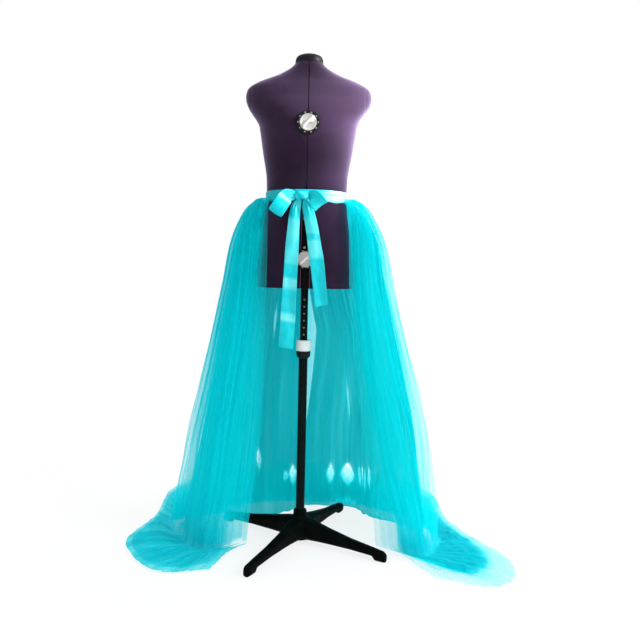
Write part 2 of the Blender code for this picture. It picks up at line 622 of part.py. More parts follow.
def cloth(net, across, wave, stations):
    """Return the outer and inner faces of a pleated cloth that ends lying on the floor.

    across is a (row, column) array of places across the cloth, from 0 at the left front
    edge to 1 at the right one.
    """
    stations = np.asarray(stations)
    meridians = np.linspace(0.0, 1.0, len(MERIDIANS))
    runs = [row[RUN] for row in LEVELS]
    base = np.empty((*across.shape, 3))
    for row, place in enumerate(stations):
        # each row of the cloth is read from the net at its own places across
        lines = curve_through(meridians, net.transpose(1, 0, 2), across[row])
        base[row] = curve_through(runs, lines.transpose(1, 0, 2), [place])[0]
    floor_run = LEVELS[FLOOR_LEVEL][RUN]
    lying = (stations >= floor_run - 1e-9)[:, None]
    plan_along = unit(np.gradient(base[..., :2], axis=1))
    sideways = np.stack((-plan_along[..., 1], plan_along[..., 0],
                         np.zeros(across.shape)), axis=-1)
    from_edge = np.minimum(across, 1.0 - across)
    calm = EDGE_CALM + (1.0 - EDGE_CALM) * np.clip(from_edge / EDGE_REACH, 0.0, 1.0)
    broad = level_value(BROAD, stations)[:, None] * calm * np.sin(
        math.tau * BROAD_WAVES * across + BROAD_PHASE)
    base = base + sideways * broad[..., None]
    base[..., 2] = np.where(lying, 0.0, np.maximum(base[..., 2], 0.0))
    down = np.gradient(base, stations, axis=0)
    along = np.gradient(base, axis=1)
    normal = unit(np.cross(along, down))
    normal[0] = sideways[0]
    upward = np.array((0.0, 0.0, 1.0))
    # on the floor the pleats keep their place in plan at first and then lie down
    lain = np.clip((stations - floor_run) / FOLD_OVER_RUN, 0.0, 1.0)[:, None]
    push = np.where(lying[..., None], sideways * (1.0 - lain)[..., None], normal)
    pleat = level_value(PLEAT, stations)[:, None] * calm * wave
    thickness = level_value(WALL, stations)[:, None]
    rumple = FLOOR_RUMPLE * (0.5 + 0.5 * np.sin(math.tau * RUMPLE_WAVES * across
                                                + RUMPLE_TURN * stations[:, None]))
    heap = thickness * LYING_WALL + (pleat + rumple) * np.clip(lain, FIRST_HEAP, HEM_HEAP)
    inner = base + push * pleat[..., None]
    outer = np.where(lying[..., None],
                     inner + push * thickness[..., None] + upward * heap[..., None],
                     inner + normal * thickness[..., None])
    return outer, inner


def panel(face, start, stop):
    """Return the columns of one face from start to stop, half a seam gap short at a seam."""
    along = unit(np.gradient(face, axis=1))
    cut = face[:, start:stop + 1].copy()
    if start > 0:
        cut[:, 0] += along[:, start] * SEAM_GAP / 2
    if stop < face.shape[1] - 1:
        cut[:, -1] -= along[:, stop] * SEAM_GAP / 2
    return cut


def build_width(name, faces, first_pleat, last_pleat, look, parent):
    """Build one width of net, from the pleat it starts at to the pleat it ends at."""
    start = round(first_pleat * PLEAT_POINTS)
    stop = round(last_pleat * PLEAT_POINTS)
    add_object(name, wall(*(panel(face, start, stop) for face in faces)), look, parent,
               sharp=180.0)


def build_tulle(parent):
    """Build the outer layer with its train, and the two halves of the dense inner layers."""
    stations = np.array(OUTER_STATIONS)
    columns, wave = pleat_columns(OUTER_PLEATS)
    across = np.tile(columns, (len(stations), 1))
    faces = cloth(control_net(), across, wave, stations)
    for name, first_pleat, last_pleat in OUTER_PANELS:
        build_width(name, faces, first_pleat, last_pleat, "tulle", parent)
    inner_net = control_net(inner_layers=True)
    stations = np.array(INNER_STATIONS)
    floor_run = LEVELS[FLOOR_LEVEL][RUN]
    bulge = np.sin(math.pi * np.clip(stations / floor_run, 0.0, 1.0)) ** 2
    half_slit = SLIT_CLOSED + SLIT_OPEN * bulge
    columns, wave = pleat_columns(INNER_PLEATS)
    edge = np.full(len(stations), INNER_EDGE)
    for left in (True, False):
        start = edge if left else 0.5 + half_slit
        end = 0.5 - half_slit if left else 1.0 - edge
        across = start[:, None] + (end - start)[:, None] * columns
        faces = cloth(inner_net, across, wave, stations)
        for name, of_left, first_pleat, last_pleat in INNER_PANELS:
            if of_left == left:
                build_width(name, faces, first_pleat, last_pleat, "tulle_dense", parent)


# ---- waistband and bow ----------------------------------------------------------------------
def build_waistband(parent):
    """Build the ribbon round the waist as a closed band."""
    size = form_size(BAND_BOTTOM)
    shape = bmesh.new()
    loops = []
    for offset in (BAND_CLEARANCE, BAND_CLEARANCE + BAND_WALL):
        for height in (BAND_BOTTOM, BAND_TOP):
            loops.append([shape.verts.new((*form_point(angle, *size, offset=offset), height))
                          for angle in ring_angles()])
    inner_low, inner_high, outer_low, outer_high = loops
    for one, two in ((outer_low, outer_high), (outer_high, inner_high),
                     (inner_high, inner_low), (inner_low, outer_low)):
        for index in range(len(one)):
            after = (index + 1) % len(one)
            shape.faces.new((one[index], one[after], two[after], two[index]))
    face_outwards(shape)
    add_object("waistband", shape, "satin", parent)


def strip(centres, widths, cross, faces):
    """Close a ribbon that follows centres, with its width along cross and faces outwards."""
    share = np.array((-0.5, 0.0, 0.5))[None, :, None]
    line = centres[:, None, :] + cross[:, None, :] * widths[:, None, None] * share
    half = faces[:, None, :] * RIBBON_WALL / 2
    return wall(line + half, line - half)


def knot_reach(angle):
    """Return how far the knot reaches from its centre at an angle below the horizontal."""
    turn = np.linspace(0.0, math.pi / 2, 91)
    across = KNOT_SIZE[0] / 2 * math.cos(angle) * np.cos(turn) ** KNOT_FULLNESS
    down = KNOT_SIZE[2] / 2 * math.sin(angle) * np.sin(turn) ** KNOT_FULLNESS
    return float(np.max(across + down))


def build_loop(name, parent):
    """Build one loop of the bow, which droops from the knot and is open along its width."""
    length, root_droop, end_droop, depth, side, swing = LOOPS[name]
    turn = np.radians(np.linspace(LOOP_OPENING, 360.0 - LOOP_OPENING, LOOP_STEPS))
    reach = length * (math.cos(turn[0]) - np.cos(turn)) / 2
    share = reach / length
    way = np.linspace(0.0, 1.0, 41)
    droop = np.radians(root_droop + (end_droop - root_droop) * way)
    start = knot_reach(droop[0]) + SEAM_GAP - LOOP_SEAT
    out = start * math.cos(droop[0]) + running_sum(np.cos(droop)) * length
    down = start * math.sin(droop[0]) + running_sum(np.sin(droop)) * length
    out_here, down_here, droop_here = (
        np.interp(share, way, values) for values in (out, down, droop))
    swell = LOOP_ROOT_DEPTH + (1.0 - LOOP_ROOT_DEPTH) * share
    centres = np.stack((KNOT_CENTRE[0] + side * out_here,
                        KNOT_CENTRE[1] - swing * share - depth / 2 * np.sin(turn) * swell,
                        KNOT_CENTRE[2] - down_here), axis=1)
    cross = np.stack((side * np.sin(droop_here), np.zeros(LOOP_STEPS),
                      np.cos(droop_here)), axis=1)
    widths = LOOP_ROOT_WIDTH + (RIBBON_WIDTH - LOOP_ROOT_WIDTH) * np.clip(
        share * LOOP_WIDENING, 0.0, 1.0)
    along = unit(np.gradient(centres, axis=0))
    add_object(name, strip(centres, widths, cross, unit(np.cross(along, cross))), "satin",
               parent)


def running_sum(values):
    """Return the mean-wise running integral of values over a length of one."""
    steps = (values[:-1] + values[1:]) / 2 / (len(values) - 1)
    return np.concatenate(((0.0,), np.cumsum(steps)))


def build_tail(name, parent):
    """Build one hanging end of the ribbon."""
    rows = np.array(TAILS[name])
    knots = np.arange(len(rows))
    places = np.linspace(0, len(rows) - 1, 2 * len(rows) - 1)
    line = curve_through(knots, rows, places)
    centres = line[:, :3]
    along = unit(np.gradient(centres, axis=0))
    across = unit(np.cross(along, np.array((0.0, -1.0, 0.0))))
    across[0] = (-1.0, 0.0, 0.0)
    add_object(name, strip(centres, line[:, 3], across, unit(np.cross(along, across))),
               "satin", parent)


def build_knot(parent):
    """Build the knot as a soft pillow that is flat behind."""
    shape = bmesh.new()
    bmesh.ops.create_uvsphere(shape, u_segments=12, v_segments=8, radius=0.5)
    for point in shape.verts:
        soft = [math.copysign(abs(2 * value) ** KNOT_FULLNESS, value) / 2 for value in point.co]
        point.co = [value * size for value, size in zip(soft, KNOT_SIZE)]
    bmesh.ops.translate(shape, vec=KNOT_CENTRE, verts=shape.verts)
    add_object("bow_knot", shape, "satin", parent)


def main():
    """Build every piece under one empty that stands on the floor at the pole."""
    clear_scene()
    floor_point = bpy.data.objects.new("floor_point", None)
    floor_point.location = (POLE_X, POLE_Y, 0.0)
    bpy.context.scene.collection.objects.link(floor_point)
    build_stand(floor_point)
    build_form(floor_point)
    for name in DIALS:
        build_dial(name, floor_point)
    build_waistband(floor_point)
    build_tulle(floor_point)
    build_knot(floor_point)
    for name in LOOPS:
        build_loop(name, floor_point)
    for name in TAILS:
        build_tail(name, floor_point)


main()
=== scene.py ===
"""Open-front tulle overskirt with a train, tied round a limbless dress form on a pole stand.

Lengths are in metres and +Z is up. The tables are kept about the pole's axis, and each piece
is carried to its place in the frame before its mesh is made.
"""
import logging
import math
from dataclasses import dataclass, field
from enum import Enum, IntEnum

import bmesh
import bpy
import numpy as np
from mathutils import Matrix, Vector


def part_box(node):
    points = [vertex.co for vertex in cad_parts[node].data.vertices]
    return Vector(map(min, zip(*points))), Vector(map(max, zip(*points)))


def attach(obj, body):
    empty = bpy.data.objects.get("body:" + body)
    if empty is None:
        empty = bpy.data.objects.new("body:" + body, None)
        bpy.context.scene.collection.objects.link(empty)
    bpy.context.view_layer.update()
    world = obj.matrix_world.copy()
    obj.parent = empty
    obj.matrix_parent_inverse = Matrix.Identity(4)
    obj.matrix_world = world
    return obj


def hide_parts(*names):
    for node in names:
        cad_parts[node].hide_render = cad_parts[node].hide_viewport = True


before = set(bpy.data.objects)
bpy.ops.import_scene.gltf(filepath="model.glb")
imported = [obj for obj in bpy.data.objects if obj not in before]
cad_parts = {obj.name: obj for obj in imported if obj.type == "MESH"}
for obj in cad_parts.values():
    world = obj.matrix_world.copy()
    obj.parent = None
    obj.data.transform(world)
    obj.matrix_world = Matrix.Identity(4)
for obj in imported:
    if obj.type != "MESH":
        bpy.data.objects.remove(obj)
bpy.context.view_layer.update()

LOG = logging.getLogger("overskirt")
SEAM_GAP = 0.0003                                    # between pieces that touch
WELD = 1e-6                                          # points this close become one
HEART = np.array((0.0, 0.0, 0.9))                    # open sheets face away from it
FORWARD = Matrix.Rotation(math.radians(90), 4, "X")  # lays an upright axis along -Y
WHITE = (1.0, 1.0, 1.0, 1.0)
Span = tuple[float, float]
Point = tuple[float, float, float]
Colour = tuple[float, float, float, float]


class Slot(str, Enum):
    """The record's material slots."""

    TULLE = "tulle"
    TULLE_DENSE = "tulle_dense"
    SATIN = "satin"
    JERSEY = "jersey"
    BLACK_PLASTIC = "black_plastic"
    SILVER = "silver"
    WHITE_PLASTIC = "white_plastic"
    BLACK_PAINT = "black_paint"
    CAST_IRON = "cast_iron"


class Body(str, Enum):
    """The bodies that pieces ride on."""

    ROOT = "root"
    CHEST_ADJUSTER = "chest_adjuster"
    HIP_ADJUSTER = "hip_adjuster"


class Hold(str, Enum):
    """How a sheet of cloth is held."""

    GATHERED = "gathered"
    HUNG = "hung"
    FOLDED = "folded"
    STRETCHED = "stretched"


class Level(IntEnum):
    """The columns of the guiding net's levels."""

    RUN = 0
    HEIGHT = 1
    PLEAT = 5
    BROAD = 6
    FINE = 7
    INSET = 8
    SINK = 9


def pole_axis() -> np.ndarray:
    """Return where the pole's axis meets the floor, in the frame."""
    low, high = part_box("pole_lower")
    return np.array(((low.x + high.x) / 2, (low.y + high.y) / 2, 0.0))


# ---- shader wiring ----
class Wiring:
    """A material's node tree, wired one node at a time."""

    def __init__(self, name: str) -> None:
        """Start an empty material of this name."""
        self.material = bpy.data.materials.new(name)
        self.material.use_nodes = True
        self.tree = self.material.node_tree
        self.tree.nodes.clear()

    def add(self, kind: str, sockets: dict | None = None, **settings) -> bpy.types.Node:
        """Add one node.

        Args:
            kind: the node's type, without its ShaderNode prefix.
            sockets: what each named input is linked to or set to.
            settings: the node's own properties.

        Returns:
            The new node.
        """
        node = self.tree.nodes.new("ShaderNode" + kind)
        for key, value in settings.items():
            setattr(node, key, value)
        for key, value in (sockets or {}).items():
            if isinstance(value, bpy.types.NodeSocket):
                self.tree.links.new(value, node.inputs[key])
            else:
                node.inputs[key].default_value = value
        return node

    def place(self, scale: Point, uv: bool = False,
              turn: float = 0.0) -> bpy.types.NodeSocket:
        """Return the object's own coordinates, or its cloth's, times a scale on each axis.

        Args:
            scale: what each coordinate is multiplied by.
            uv: true to read the cloth's own metres instead of the object's.
            turn: how far the pattern is turned about its third axis, in radians.

        Returns:
            The scaled vector.
        """
        if uv:
            source = self.add("UVMap", uv_map="cloth").outputs["UV"]
        else:
            source = self.add("TexCoord").outputs["Object"]
        mapped = self.add("Mapping", {"Vector": source, "Scale": scale,
                                      "Rotation": (0.0, 0.0, turn)})
        return mapped.outputs["Vector"]

    def maths(self, operation: str, *values: object) -> bpy.types.NodeSocket:
        """Return the outcome of one Math node on sockets or numbers."""
        return self.add("Math", dict(enumerate(values)), operation=operation).outputs[0]

    def noise(self, vector: bpy.types.NodeSocket, scale: float, detail: float = 3.0,
              rough: float = 0.5) -> bpy.types.NodeSocket:
        """Return a noise's value, near 0.5 on average."""
        return self.add("TexNoise", {"Vector": vector, "Scale": scale, "Detail": detail,
                                     "Roughness": rough}).outputs["Fac"]

    def span(self, value: bpy.types.NodeSocket, low: float, high: float, to_low: float,
             to_high: float) -> bpy.types.NodeSocket:
        """Map a value from one range to another, held at both ends."""
        return self.add("MapRange", {"Value": value, "From Min": low, "From Max": high,
                                     "To Min": to_low, "To Max": to_high}).outputs["Result"]

    def blend(self, share: object, first: object, second: object) -> bpy.types.NodeSocket:
        """Mix two colours by a share and return the outcome."""
        return self.add("Mix", {0: share, 6: first, 7: second},
                        data_type="RGBA").outputs[2]

    def ramp(self, value: bpy.types.NodeSocket, stops: tuple) -> bpy.types.NodeSocket:
        """Return the colour that a value reaches along a row of (place, colour) stops."""
        node = self.add("ValToRGB", {"Fac": value})
        marks = node.color_ramp.elements
        marks[0].position, marks[0].color = stops[0]
        marks[1].position, marks[1].color = stops[-1]
        for place, colour in stops[1:-1]:
            marks.new(place).color = colour
        return node.outputs["Color"]

    def bump(self, height: bpy.types.NodeSocket, strength: float,
             distance: float) -> bpy.types.NodeSocket:
        """Return a normal that is bumped by a height in metres of the given distance."""
        return self.add("Bump", {"Height": height, "Strength": strength,
                                 "Distance": distance}).outputs["Normal"]

    def weave(self, threads: float) -> bpy.types.NodeSocket:
        """Return the height of a plain weave, with so many threads to a metre of cloth."""
        bands = [self.add("TexWave", {"Vector": self.place((threads, threads, 1.0), uv=True),
                                      "Scale": 0.16}, bands_direction=way).outputs["Fac"]
                 for way in ("X", "Y")]
        return self.maths("MAXIMUM", *bands)

    def close(self, shader: bpy.types.NodeSocket) -> bpy.types.Material:
        """Lead a shader to the material's surface and return the material."""
        self.add("OutputMaterial", {"Surface": shader})
        return self.material


@dataclass(frozen=True)
class NetFinish:
    """Turquoise net whose cover follows how many layers lie over each other."""

    name: str
    colour: Colour = (0.0, 0.850, 0.920, 1.0)
    deep_colour: Colour = (0.0, 0.600, 0.700, 1.0)
    streak: float = 0.62         # how uneven the gathered layers are
    streaks: float = 24.0        # streaks to a metre across
    cells: float = 560.0         # net cells to a metre
    cell_depth: float = 0.22     # how far a cell's hole thins the net
    fine_share: float = 0.16     # how much the fine streaks add to the long ones
    uneven_span: Span = (0.34, 0.82)
    deep_span: Span = (0.6, 3.6)  # layers of net from the colour to the deep one
    glow: float = 0.48           # share of the light that comes through a thread

    def cell_pattern(self, wiring: Wiring) -> bpy.types.NodeSocket:
        """Return 1 on the threads of a hexagonal net and 0 in its holes.

        Args:
            wiring: the material's wiring.

        Returns:
            The pattern's value.
        """
        waves = []
        for index in range(3):
            turned = wiring.place((self.cells * math.tau,) * 3, uv=True,
                                  turn=math.tau * index / 3)
            along = wiring.add("SeparateXYZ", {"Vector": turned}).outputs["X"]
            waves.append(wiring.maths("COSINE", along))
        total = wiring.maths("ADD", wiring.maths("ADD", waves[0], waves[1]), waves[2])
        return wiring.span(total, 0.1, 0.9, 1.0, 0.0)

    def make(self) -> bpy.types.Material:
        """Wire the net's material and return it."""
        wiring = Wiring(self.name)
        layers = wiring.add("Attribute", attribute_name="layers").outputs["Fac"]
        long = wiring.noise(wiring.place((self.streaks, 0.9, 1.0), uv=True), 1.0, 4.0, 0.62)
        fine = wiring.noise(wiring.place((self.streaks * 4, 3.0, 1.0), uv=True), 1.0, 2.0)
        both = wiring.maths("ADD", long, wiring.maths("MULTIPLY", fine, self.fine_share))
        uneven = wiring.span(both, *self.uneven_span, 1.0 - self.streak, 1.0 + self.streak)
        thickness = wiring.maths("MULTIPLY", layers, uneven)
        cell = wiring.span(self.cell_pattern(wiring), 0.0, 1.0, 1.0 - self.cell_depth, 1.0)
        # light falls off with each layer that it passes, so cover is 1 - exp(-layers)
        passed = wiring.maths("MULTIPLY", wiring.maths("MULTIPLY", thickness, cell), -1.0)
        cover = wiring.maths("SUBTRACT", 1.0, wiring.maths("EXPONENT", passed))
        colour = wiring.blend(wiring.span(thickness, *self.deep_span, 0.0, 1.0), self.colour,
                              self.deep_colour)
        crease = wiring.bump(fine, 0.12, 0.004)
        threads = wiring.add("BsdfPrincipled", {
            "Base Color": colour, "Roughness": 0.70, "Specular IOR Level": 0.04,
            "Normal": crease})
        through = wiring.add("BsdfTranslucent", {"Color": colour, "Normal": crease})
        cloth = wiring.add("MixShader", {0: self.glow, 1: threads.outputs[0],
                                         2: through.outputs[0]})
        clear = wiring.add("BsdfTransparent")
        seen = wiring.add("MixShader", {0: cover, 1: clear.outputs[0], 2: cloth.outputs[0]})
        return wiring.close(seen.outputs[0])


@dataclass(frozen=True)
class SatinFinish:
    """Glossy turquoise satin with a fine weave and faint crush marks, coloured from painted
    shade to painted highlight by each point's lustre value.
    """

    name: str = "satin_ribbon"
    # painted light, from 0 to 1, and the colour painted at each value: painted shade at 0,
    # painted highlight at 1
    painted_light: tuple = ((0.0, (0.0, 0.270, 0.310, 1.0)), (0.35, (0.002, 0.420, 0.450, 1.0)),
                     (0.5, (0.001, 0.560, 0.640, 1.0)), (0.75, (0.075, 0.700, 0.740, 1.0)),
                     (1.0, (0.400, 0.860, 0.890, 1.0)))
    threads: float = 2600.0
    crush_span: Span = (0.3, 0.7)
    # how far the crush marks shift the painted light along the ramp
    crush_light_shift: float = 0.05
    roughness: Span = (0.28, 0.38)

    def make(self) -> bpy.types.Material:
        """Wire the satin's material and return it."""
        wiring = Wiring(self.name)
        crush = wiring.noise(wiring.place((26.0, 60.0, 1.0), uv=True), 1.0, 3.0)
        # each point's painted light picks the colour from painted shade to painted highlight;
        # the crush marks shift it a little
        lean = wiring.add("Attribute", attribute_name="painted_light").outputs["Fac"]
        lift = wiring.span(crush, *self.crush_span, -self.crush_light_shift, self.crush_light_shift)
        lean = wiring.maths("ADD", lean, lift)
        colour = wiring.ramp(lean, self.painted_light)
        weave = wiring.bump(wiring.weave(self.threads), 0.15, 0.0002)
        soft = wiring.add("Bump", {"Height": crush, "Strength": 0.18, "Distance": 0.003,
                                   "Normal": weave}).outputs["Normal"]
        rough = wiring.span(crush, *self.crush_span, *self.roughness)
        shader = wiring.add("BsdfPrincipled", {
            "Base Color": colour, "Roughness": rough, "Specular IOR Level": 0.14,
            "Coat Weight": 0.04, "Coat Roughness": 0.22, "Normal": soft})
        return wiring.close(shader.outputs[0])


@dataclass(frozen=True)
class JerseyFinish:
    """Dark plum knitted cover: fine ribs, a lilac nap and faint lint."""

    name: str = "plum_jersey"
    colour: Colour = (0.014, 0.006, 0.018, 1.0)
    worn_colour: Colour = (0.024, 0.010, 0.031, 1.0)
    worn_span: Span = (0.35, 0.68)
    ribs: float = 190.0
    knit: float = 900.0
    knit_share: float = 0.8
    nap: Colour = (0.78, 0.60, 1.0, 1.0)

    def make(self) -> bpy.types.Material:
        """Wire the jersey's material and return it."""
        wiring = Wiring(self.name)
        wear = wiring.noise(wiring.place((1.0, 1.0, 1.0)), 9.0, 5.0)
        ribs = wiring.add("TexWave", {"Vector": wiring.place((1.0, 0.35, 0.0)),
                                      "Scale": self.ribs, "Distortion": 1.2, "Detail": 1.0},
                          bands_direction="X").outputs["Fac"]
        knit = wiring.noise(wiring.place((1.0, 1.0, 1.0)), self.knit, 2.0)
        height = wiring.maths("ADD", ribs, wiring.maths("MULTIPLY", knit, self.knit_share))
        colour = wiring.blend(wiring.span(wear, *self.worn_span, 0.0, 1.0), self.colour,
                              self.worn_colour)
        shader = wiring.add("BsdfPrincipled", {
            "Base Color": colour, "Roughness": 0.85, "Specular IOR Level": 0.08,
            "Sheen Weight": 0.62, "Sheen Roughness": 0.42, "Sheen Tint": self.nap,
            "Normal": wiring.bump(height, 0.35, 0.0005)})
        return wiring.close(shader.outputs[0])


@dataclass(frozen=True)
class HardFinish:
    """A hard surface: its colour, worn colour, gloss and grain."""

    name: str
    colour: Colour
    worn_colour: Colour
    roughness: Span
    metallic: float = 0.0
    gloss: float = 0.5           # strength of the mirror-like part, 0.5 for plain plastic
    grain: float = 400.0         # noise cells to a metre
    grain_depth: float = 0.0002
    grain_strength: float = 0.25

    def make(self) -> bpy.types.Material:
        """Wire the material and return it."""
        wiring = Wiring(self.name)
        place = wiring.place((1.0, 1.0, 1.0))
        wear = wiring.noise(place, 38.0, 5.0, 0.6)
        grain = wiring.noise(place, self.grain, 3.0)
        colour = wiring.blend(wiring.span(wear, 0.42, 0.72, 0.0, 1.0), self.colour,
                              self.worn_colour)
        shader = wiring.add("BsdfPrincipled", {
            "Base Color": colour, "Metallic": self.metallic,
            "Specular IOR Level": self.gloss,
            "Roughness": wiring.span(wear, 0.3, 0.7, *self.roughness),
            "Normal": wiring.bump(grain, self.grain_strength, self.grain_depth)})
        return wiring.close(shader.outputs[0])


class Finishes:
    """The materials of this object, each made once."""

    def __init__(self) -> None:
        """Make every finish."""
        self.sheer = NetFinish("sheer_net").make()
        self.dense = NetFinish("gathered_net", colour=(0.0, 0.860, 0.910, 1.0),
                               deep_colour=(0.0, 0.560, 0.605, 1.0), streak=0.42,
                               streaks=18.0, glow=0.50).make()
        self.satin = SatinFinish().make()
        self.jersey = JerseyFinish().make()
        self.black_plastic = HardFinish(
            "moulded_black", (0.007, 0.007, 0.008, 1.0), (0.012, 0.012, 0.013, 1.0),
            (0.34, 0.50), gloss=0.11, grain=1400.0).make()
        self.gap_plastic = HardFinish(
            "gap_black", (0.003, 0.003, 0.004, 1.0), (0.006, 0.005, 0.007, 1.0),
            (0.5, 0.7), gloss=0.10, grain=900.0).make()
        self.silver = HardFinish(
            "dial_silver", (0.60, 0.59, 0.56, 1.0), (0.46, 0.45, 0.44, 1.0),
            (0.26, 0.42), metallic=0.45, grain=700.0).make()
        self.bright_silver = HardFinish(
            "arrow_silver", (0.92, 0.91, 0.88, 1.0), (0.80, 0.79, 0.77, 1.0),
            (0.24, 0.36), metallic=0.25, grain=700.0).make()
        self.white_plastic = HardFinish(
            "moulded_white", (0.84, 0.84, 0.83, 1.0), (0.74, 0.74, 0.72, 1.0),
            (0.32, 0.45), grain=900.0).make()
        self.tick_white = HardFinish(
            "tick_white", (0.62, 0.60, 0.64, 1.0), (0.50, 0.48, 0.52, 1.0),
            (0.5, 0.6), grain=1200.0).make()
        self.enamel = HardFinish(
            "tube_enamel", (0.002, 0.005, 0.005, 1.0), (0.004, 0.009, 0.009, 1.0),
            (0.24, 0.38), gloss=0.055, grain=260.0, grain_strength=0.12).make()
        self.steel = HardFinish(
            "bare_steel", (0.46, 0.46, 0.47, 1.0), (0.32, 0.31, 0.31, 1.0),
            (0.28, 0.44), metallic=1.0, grain=600.0).make()
        self.cast = HardFinish(
            "cast_black", (0.0012, 0.0018, 0.0016, 1.0), (0.003, 0.004, 0.004, 1.0),
            (0.42, 0.64), gloss=0.022, grain=210.0, grain_depth=0.0009,
            grain_strength=0.45).make()


# ---- mesh tools ----
def curve_through(knots: object, values: object, places: object) -> np.ndarray:
    """Follow a smooth cubic through values given at knots.

    Args:
        knots: where the values are given, in rising order.
        values: one value, or one array, for each knot.
        places: where the curve is read.

    Returns:
        The curve's values at the places.
    """
    knots = np.asarray(knots, dtype=float)
    values = np.asarray(values, dtype=float)
    places = np.asarray(places, dtype=float)
    steps = np.diff(knots)
    extra = (1,) * (values.ndim - 1)
    slopes = np.diff(values, axis=0) / steps.reshape(-1, *extra)
    tangents = np.empty_like(values)
    tangents[0] = slopes[0]
    tangents[-1] = slopes[-1]
    before = steps[:-1].reshape(-1, *extra)
    after = steps[1:].reshape(-1, *extra)
    tangents[1:-1] = (slopes[:-1] * after + slopes[1:] * before) / (before + after)
    span = np.clip(np.searchsorted(knots, places, side="right") - 1, 0, len(knots) - 2)
    width = steps[span].reshape(-1, *extra)
    t = ((places - knots[span]) / steps[span]).reshape(-1, *extra)
    return ((2 * t**3 - 3 * t**2 + 1) * values[span]
            + (t**3 - 2 * t**2 + t) * width * tangents[span]
            + (3 * t**2 - 2 * t**3) * values[span + 1]
            + (t**3 - t**2) * width * tangents[span + 1])


def unit(vectors: np.ndarray) -> np.ndarray:
    """Scale an array of vectors to length one."""
    return vectors / np.maximum(np.linalg.norm(vectors, axis=-1, keepdims=True), 1e-12)


def follow(table: tuple, place: np.ndarray) -> np.ndarray:
    """Read a table of (place, value) rows at places, in straight lines between its rows."""
    return np.interp(place, *zip(*table))


def run_along(points: np.ndarray) -> np.ndarray:
    """Return how far along a line of points each point lies."""
    steps = np.linalg.norm(np.diff(points, axis=0), axis=1)
    return np.concatenate(((0.0,), np.cumsum(steps)))


def cloth_map(first: np.ndarray, second: np.ndarray) -> np.ndarray:
    """Spread two rows of cloth measures over a grid and return a pair for each point."""
    return np.stack(np.broadcast_arrays(first, second), axis=-1)


def smooth_step(value: np.ndarray, low: float, high: float) -> np.ndarray:
    """Return 0 below low, 1 above high and a smooth rise between them."""
    t = np.clip((value - low) / (high - low), 0.0, 1.0)
    return t * t * (3.0 - 2.0 * t)


def wander(place: np.ndarray, seed: int) -> np.ndarray:
    """Return a smooth uneven curve between about -1 and 1, the same on every run.

    Args:
        place: where the curve is read; it changes over about one unit.
        seed: which curve it is.

    Returns:
        The curve's values.
    """
    waves, slowest, fastest, reach = 6, 0.45, 1.9, 1.25
    picks = np.random.default_rng(seed)
    total = np.zeros(np.shape(place))
    for _ in range(waves):
        pace, phase = picks.uniform(slowest, fastest), picks.uniform(0.0, math.tau)
        total = total + np.sin(math.tau * pace * place + phase)
    return total / math.sqrt(waves) / reach


def finish_object(name: str, mesh: bpy.types.Mesh, look: bpy.types.Material,
                  body: Body = Body.ROOT, stands_for: tuple[str, ...] = ()
                  ) -> bpy.types.Object:
    """Put a mesh into the scene as one piece of the object.

    Args:
        name: the piece's name.
        mesh: its mesh, with its place in the points.
        look: its material.
        body: the body that it rides on.
        stands_for: the CAD nodes that it replaces.

    Returns:
        The new object.
    """
    mesh.name = name
    mesh.materials.clear()
    mesh.materials.append(look)
    piece = bpy.data.objects.new(name, mesh)
    bpy.context.scene.collection.objects.link(piece)
    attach(piece, body.value)
    if stands_for:
        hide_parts(*stands_for)
    LOG.info("%s: %d faces", name, len(mesh.polygons))
    return piece


def to_mesh(shape: bmesh.types.BMesh, sharp: float = 40.0) -> bpy.types.Mesh:
    """Turn a bmesh into a smooth mesh whose edges are sharp past an angle in degrees."""
    mesh = bpy.data.meshes.new("made")
    shape.to_mesh(mesh)
    shape.free()
    mesh.shade_smooth()
    mesh.set_sharp_from_angle(angle=math.radians(sharp))
    return mesh


def settle(piece: bpy.types.Object) -> None:
    """Apply a piece's modifiers to its mesh."""
    bpy.context.view_layer.update()
    graph = bpy.context.evaluated_depsgraph_get()
    mesh = bpy.data.meshes.new_from_object(piece.evaluated_get(graph))
    LOG.info("%s: %d faces once shaped", piece.name, len(mesh.polygons))
    piece.modifiers.clear()
    piece.data = mesh


def sheet_mesh(points: np.ndarray, cloth: np.ndarray, values: np.ndarray | None = None,
               closed: bool = False, named: str = "layers") -> bpy.types.Mesh:
    """Make an open grid, or one that closes on itself across its columns.

    Args:
        points: a (row, column, 3) array of places in the frame.
        cloth: a (row, column, 2) array of places on the flat cloth, in metres.
        values: a value for each point, for the material to read.
        closed: true to weld the first column to the last.
        named: the name that the values are kept under.

    Returns:
        The mesh, smooth, with its cloth map and its values.
    """
    rows, columns = points.shape[:2]
    shape = bmesh.new()
    bmesh.ops.create_grid(shape, x_segments=columns - 1, y_segments=rows - 1, size=1.0)
    mesh = bpy.data.meshes.new("sheet")
    shape.to_mesh(mesh)
    shape.free()
    mesh.vertices.foreach_set("co", points.reshape(-1, 3).ravel())
    corners = np.empty(len(mesh.loops), dtype=np.int32)
    mesh.loops.foreach_get("vertex_index", corners)
    layout = mesh.uv_layers.new(name="cloth")
    layout.data.foreach_set("uv", cloth.reshape(-1, 2)[corners].ravel())
    if values is not None:
        held = mesh.attributes.new(named, "FLOAT", "POINT")
        held.data.foreach_set("value", values.ravel().astype(np.float32))
    if closed:
        shape = bmesh.new()
        shape.from_mesh(mesh)
        bmesh.ops.remove_doubles(shape, verts=shape.verts, dist=WELD)
        shape.to_mesh(mesh)
        shape.free()
    mesh.update()
    mesh.shade_smooth()
    return mesh


def face_from(mesh: bpy.types.Mesh, inside: np.ndarray) -> None:
    """Turn an open sheet's faces away from a point, if most of them look towards it."""
    centres = np.empty(len(mesh.polygons) * 3)
    normals = np.empty(len(mesh.polygons) * 3)
    mesh.polygons.foreach_get("center", centres)
    mesh.polygons.foreach_get("normal", normals)
    away = (centres.reshape(-1, 3) - inside) * normals.reshape(-1, 3)
    if away.sum() < 0:
        mesh.flip_normals()


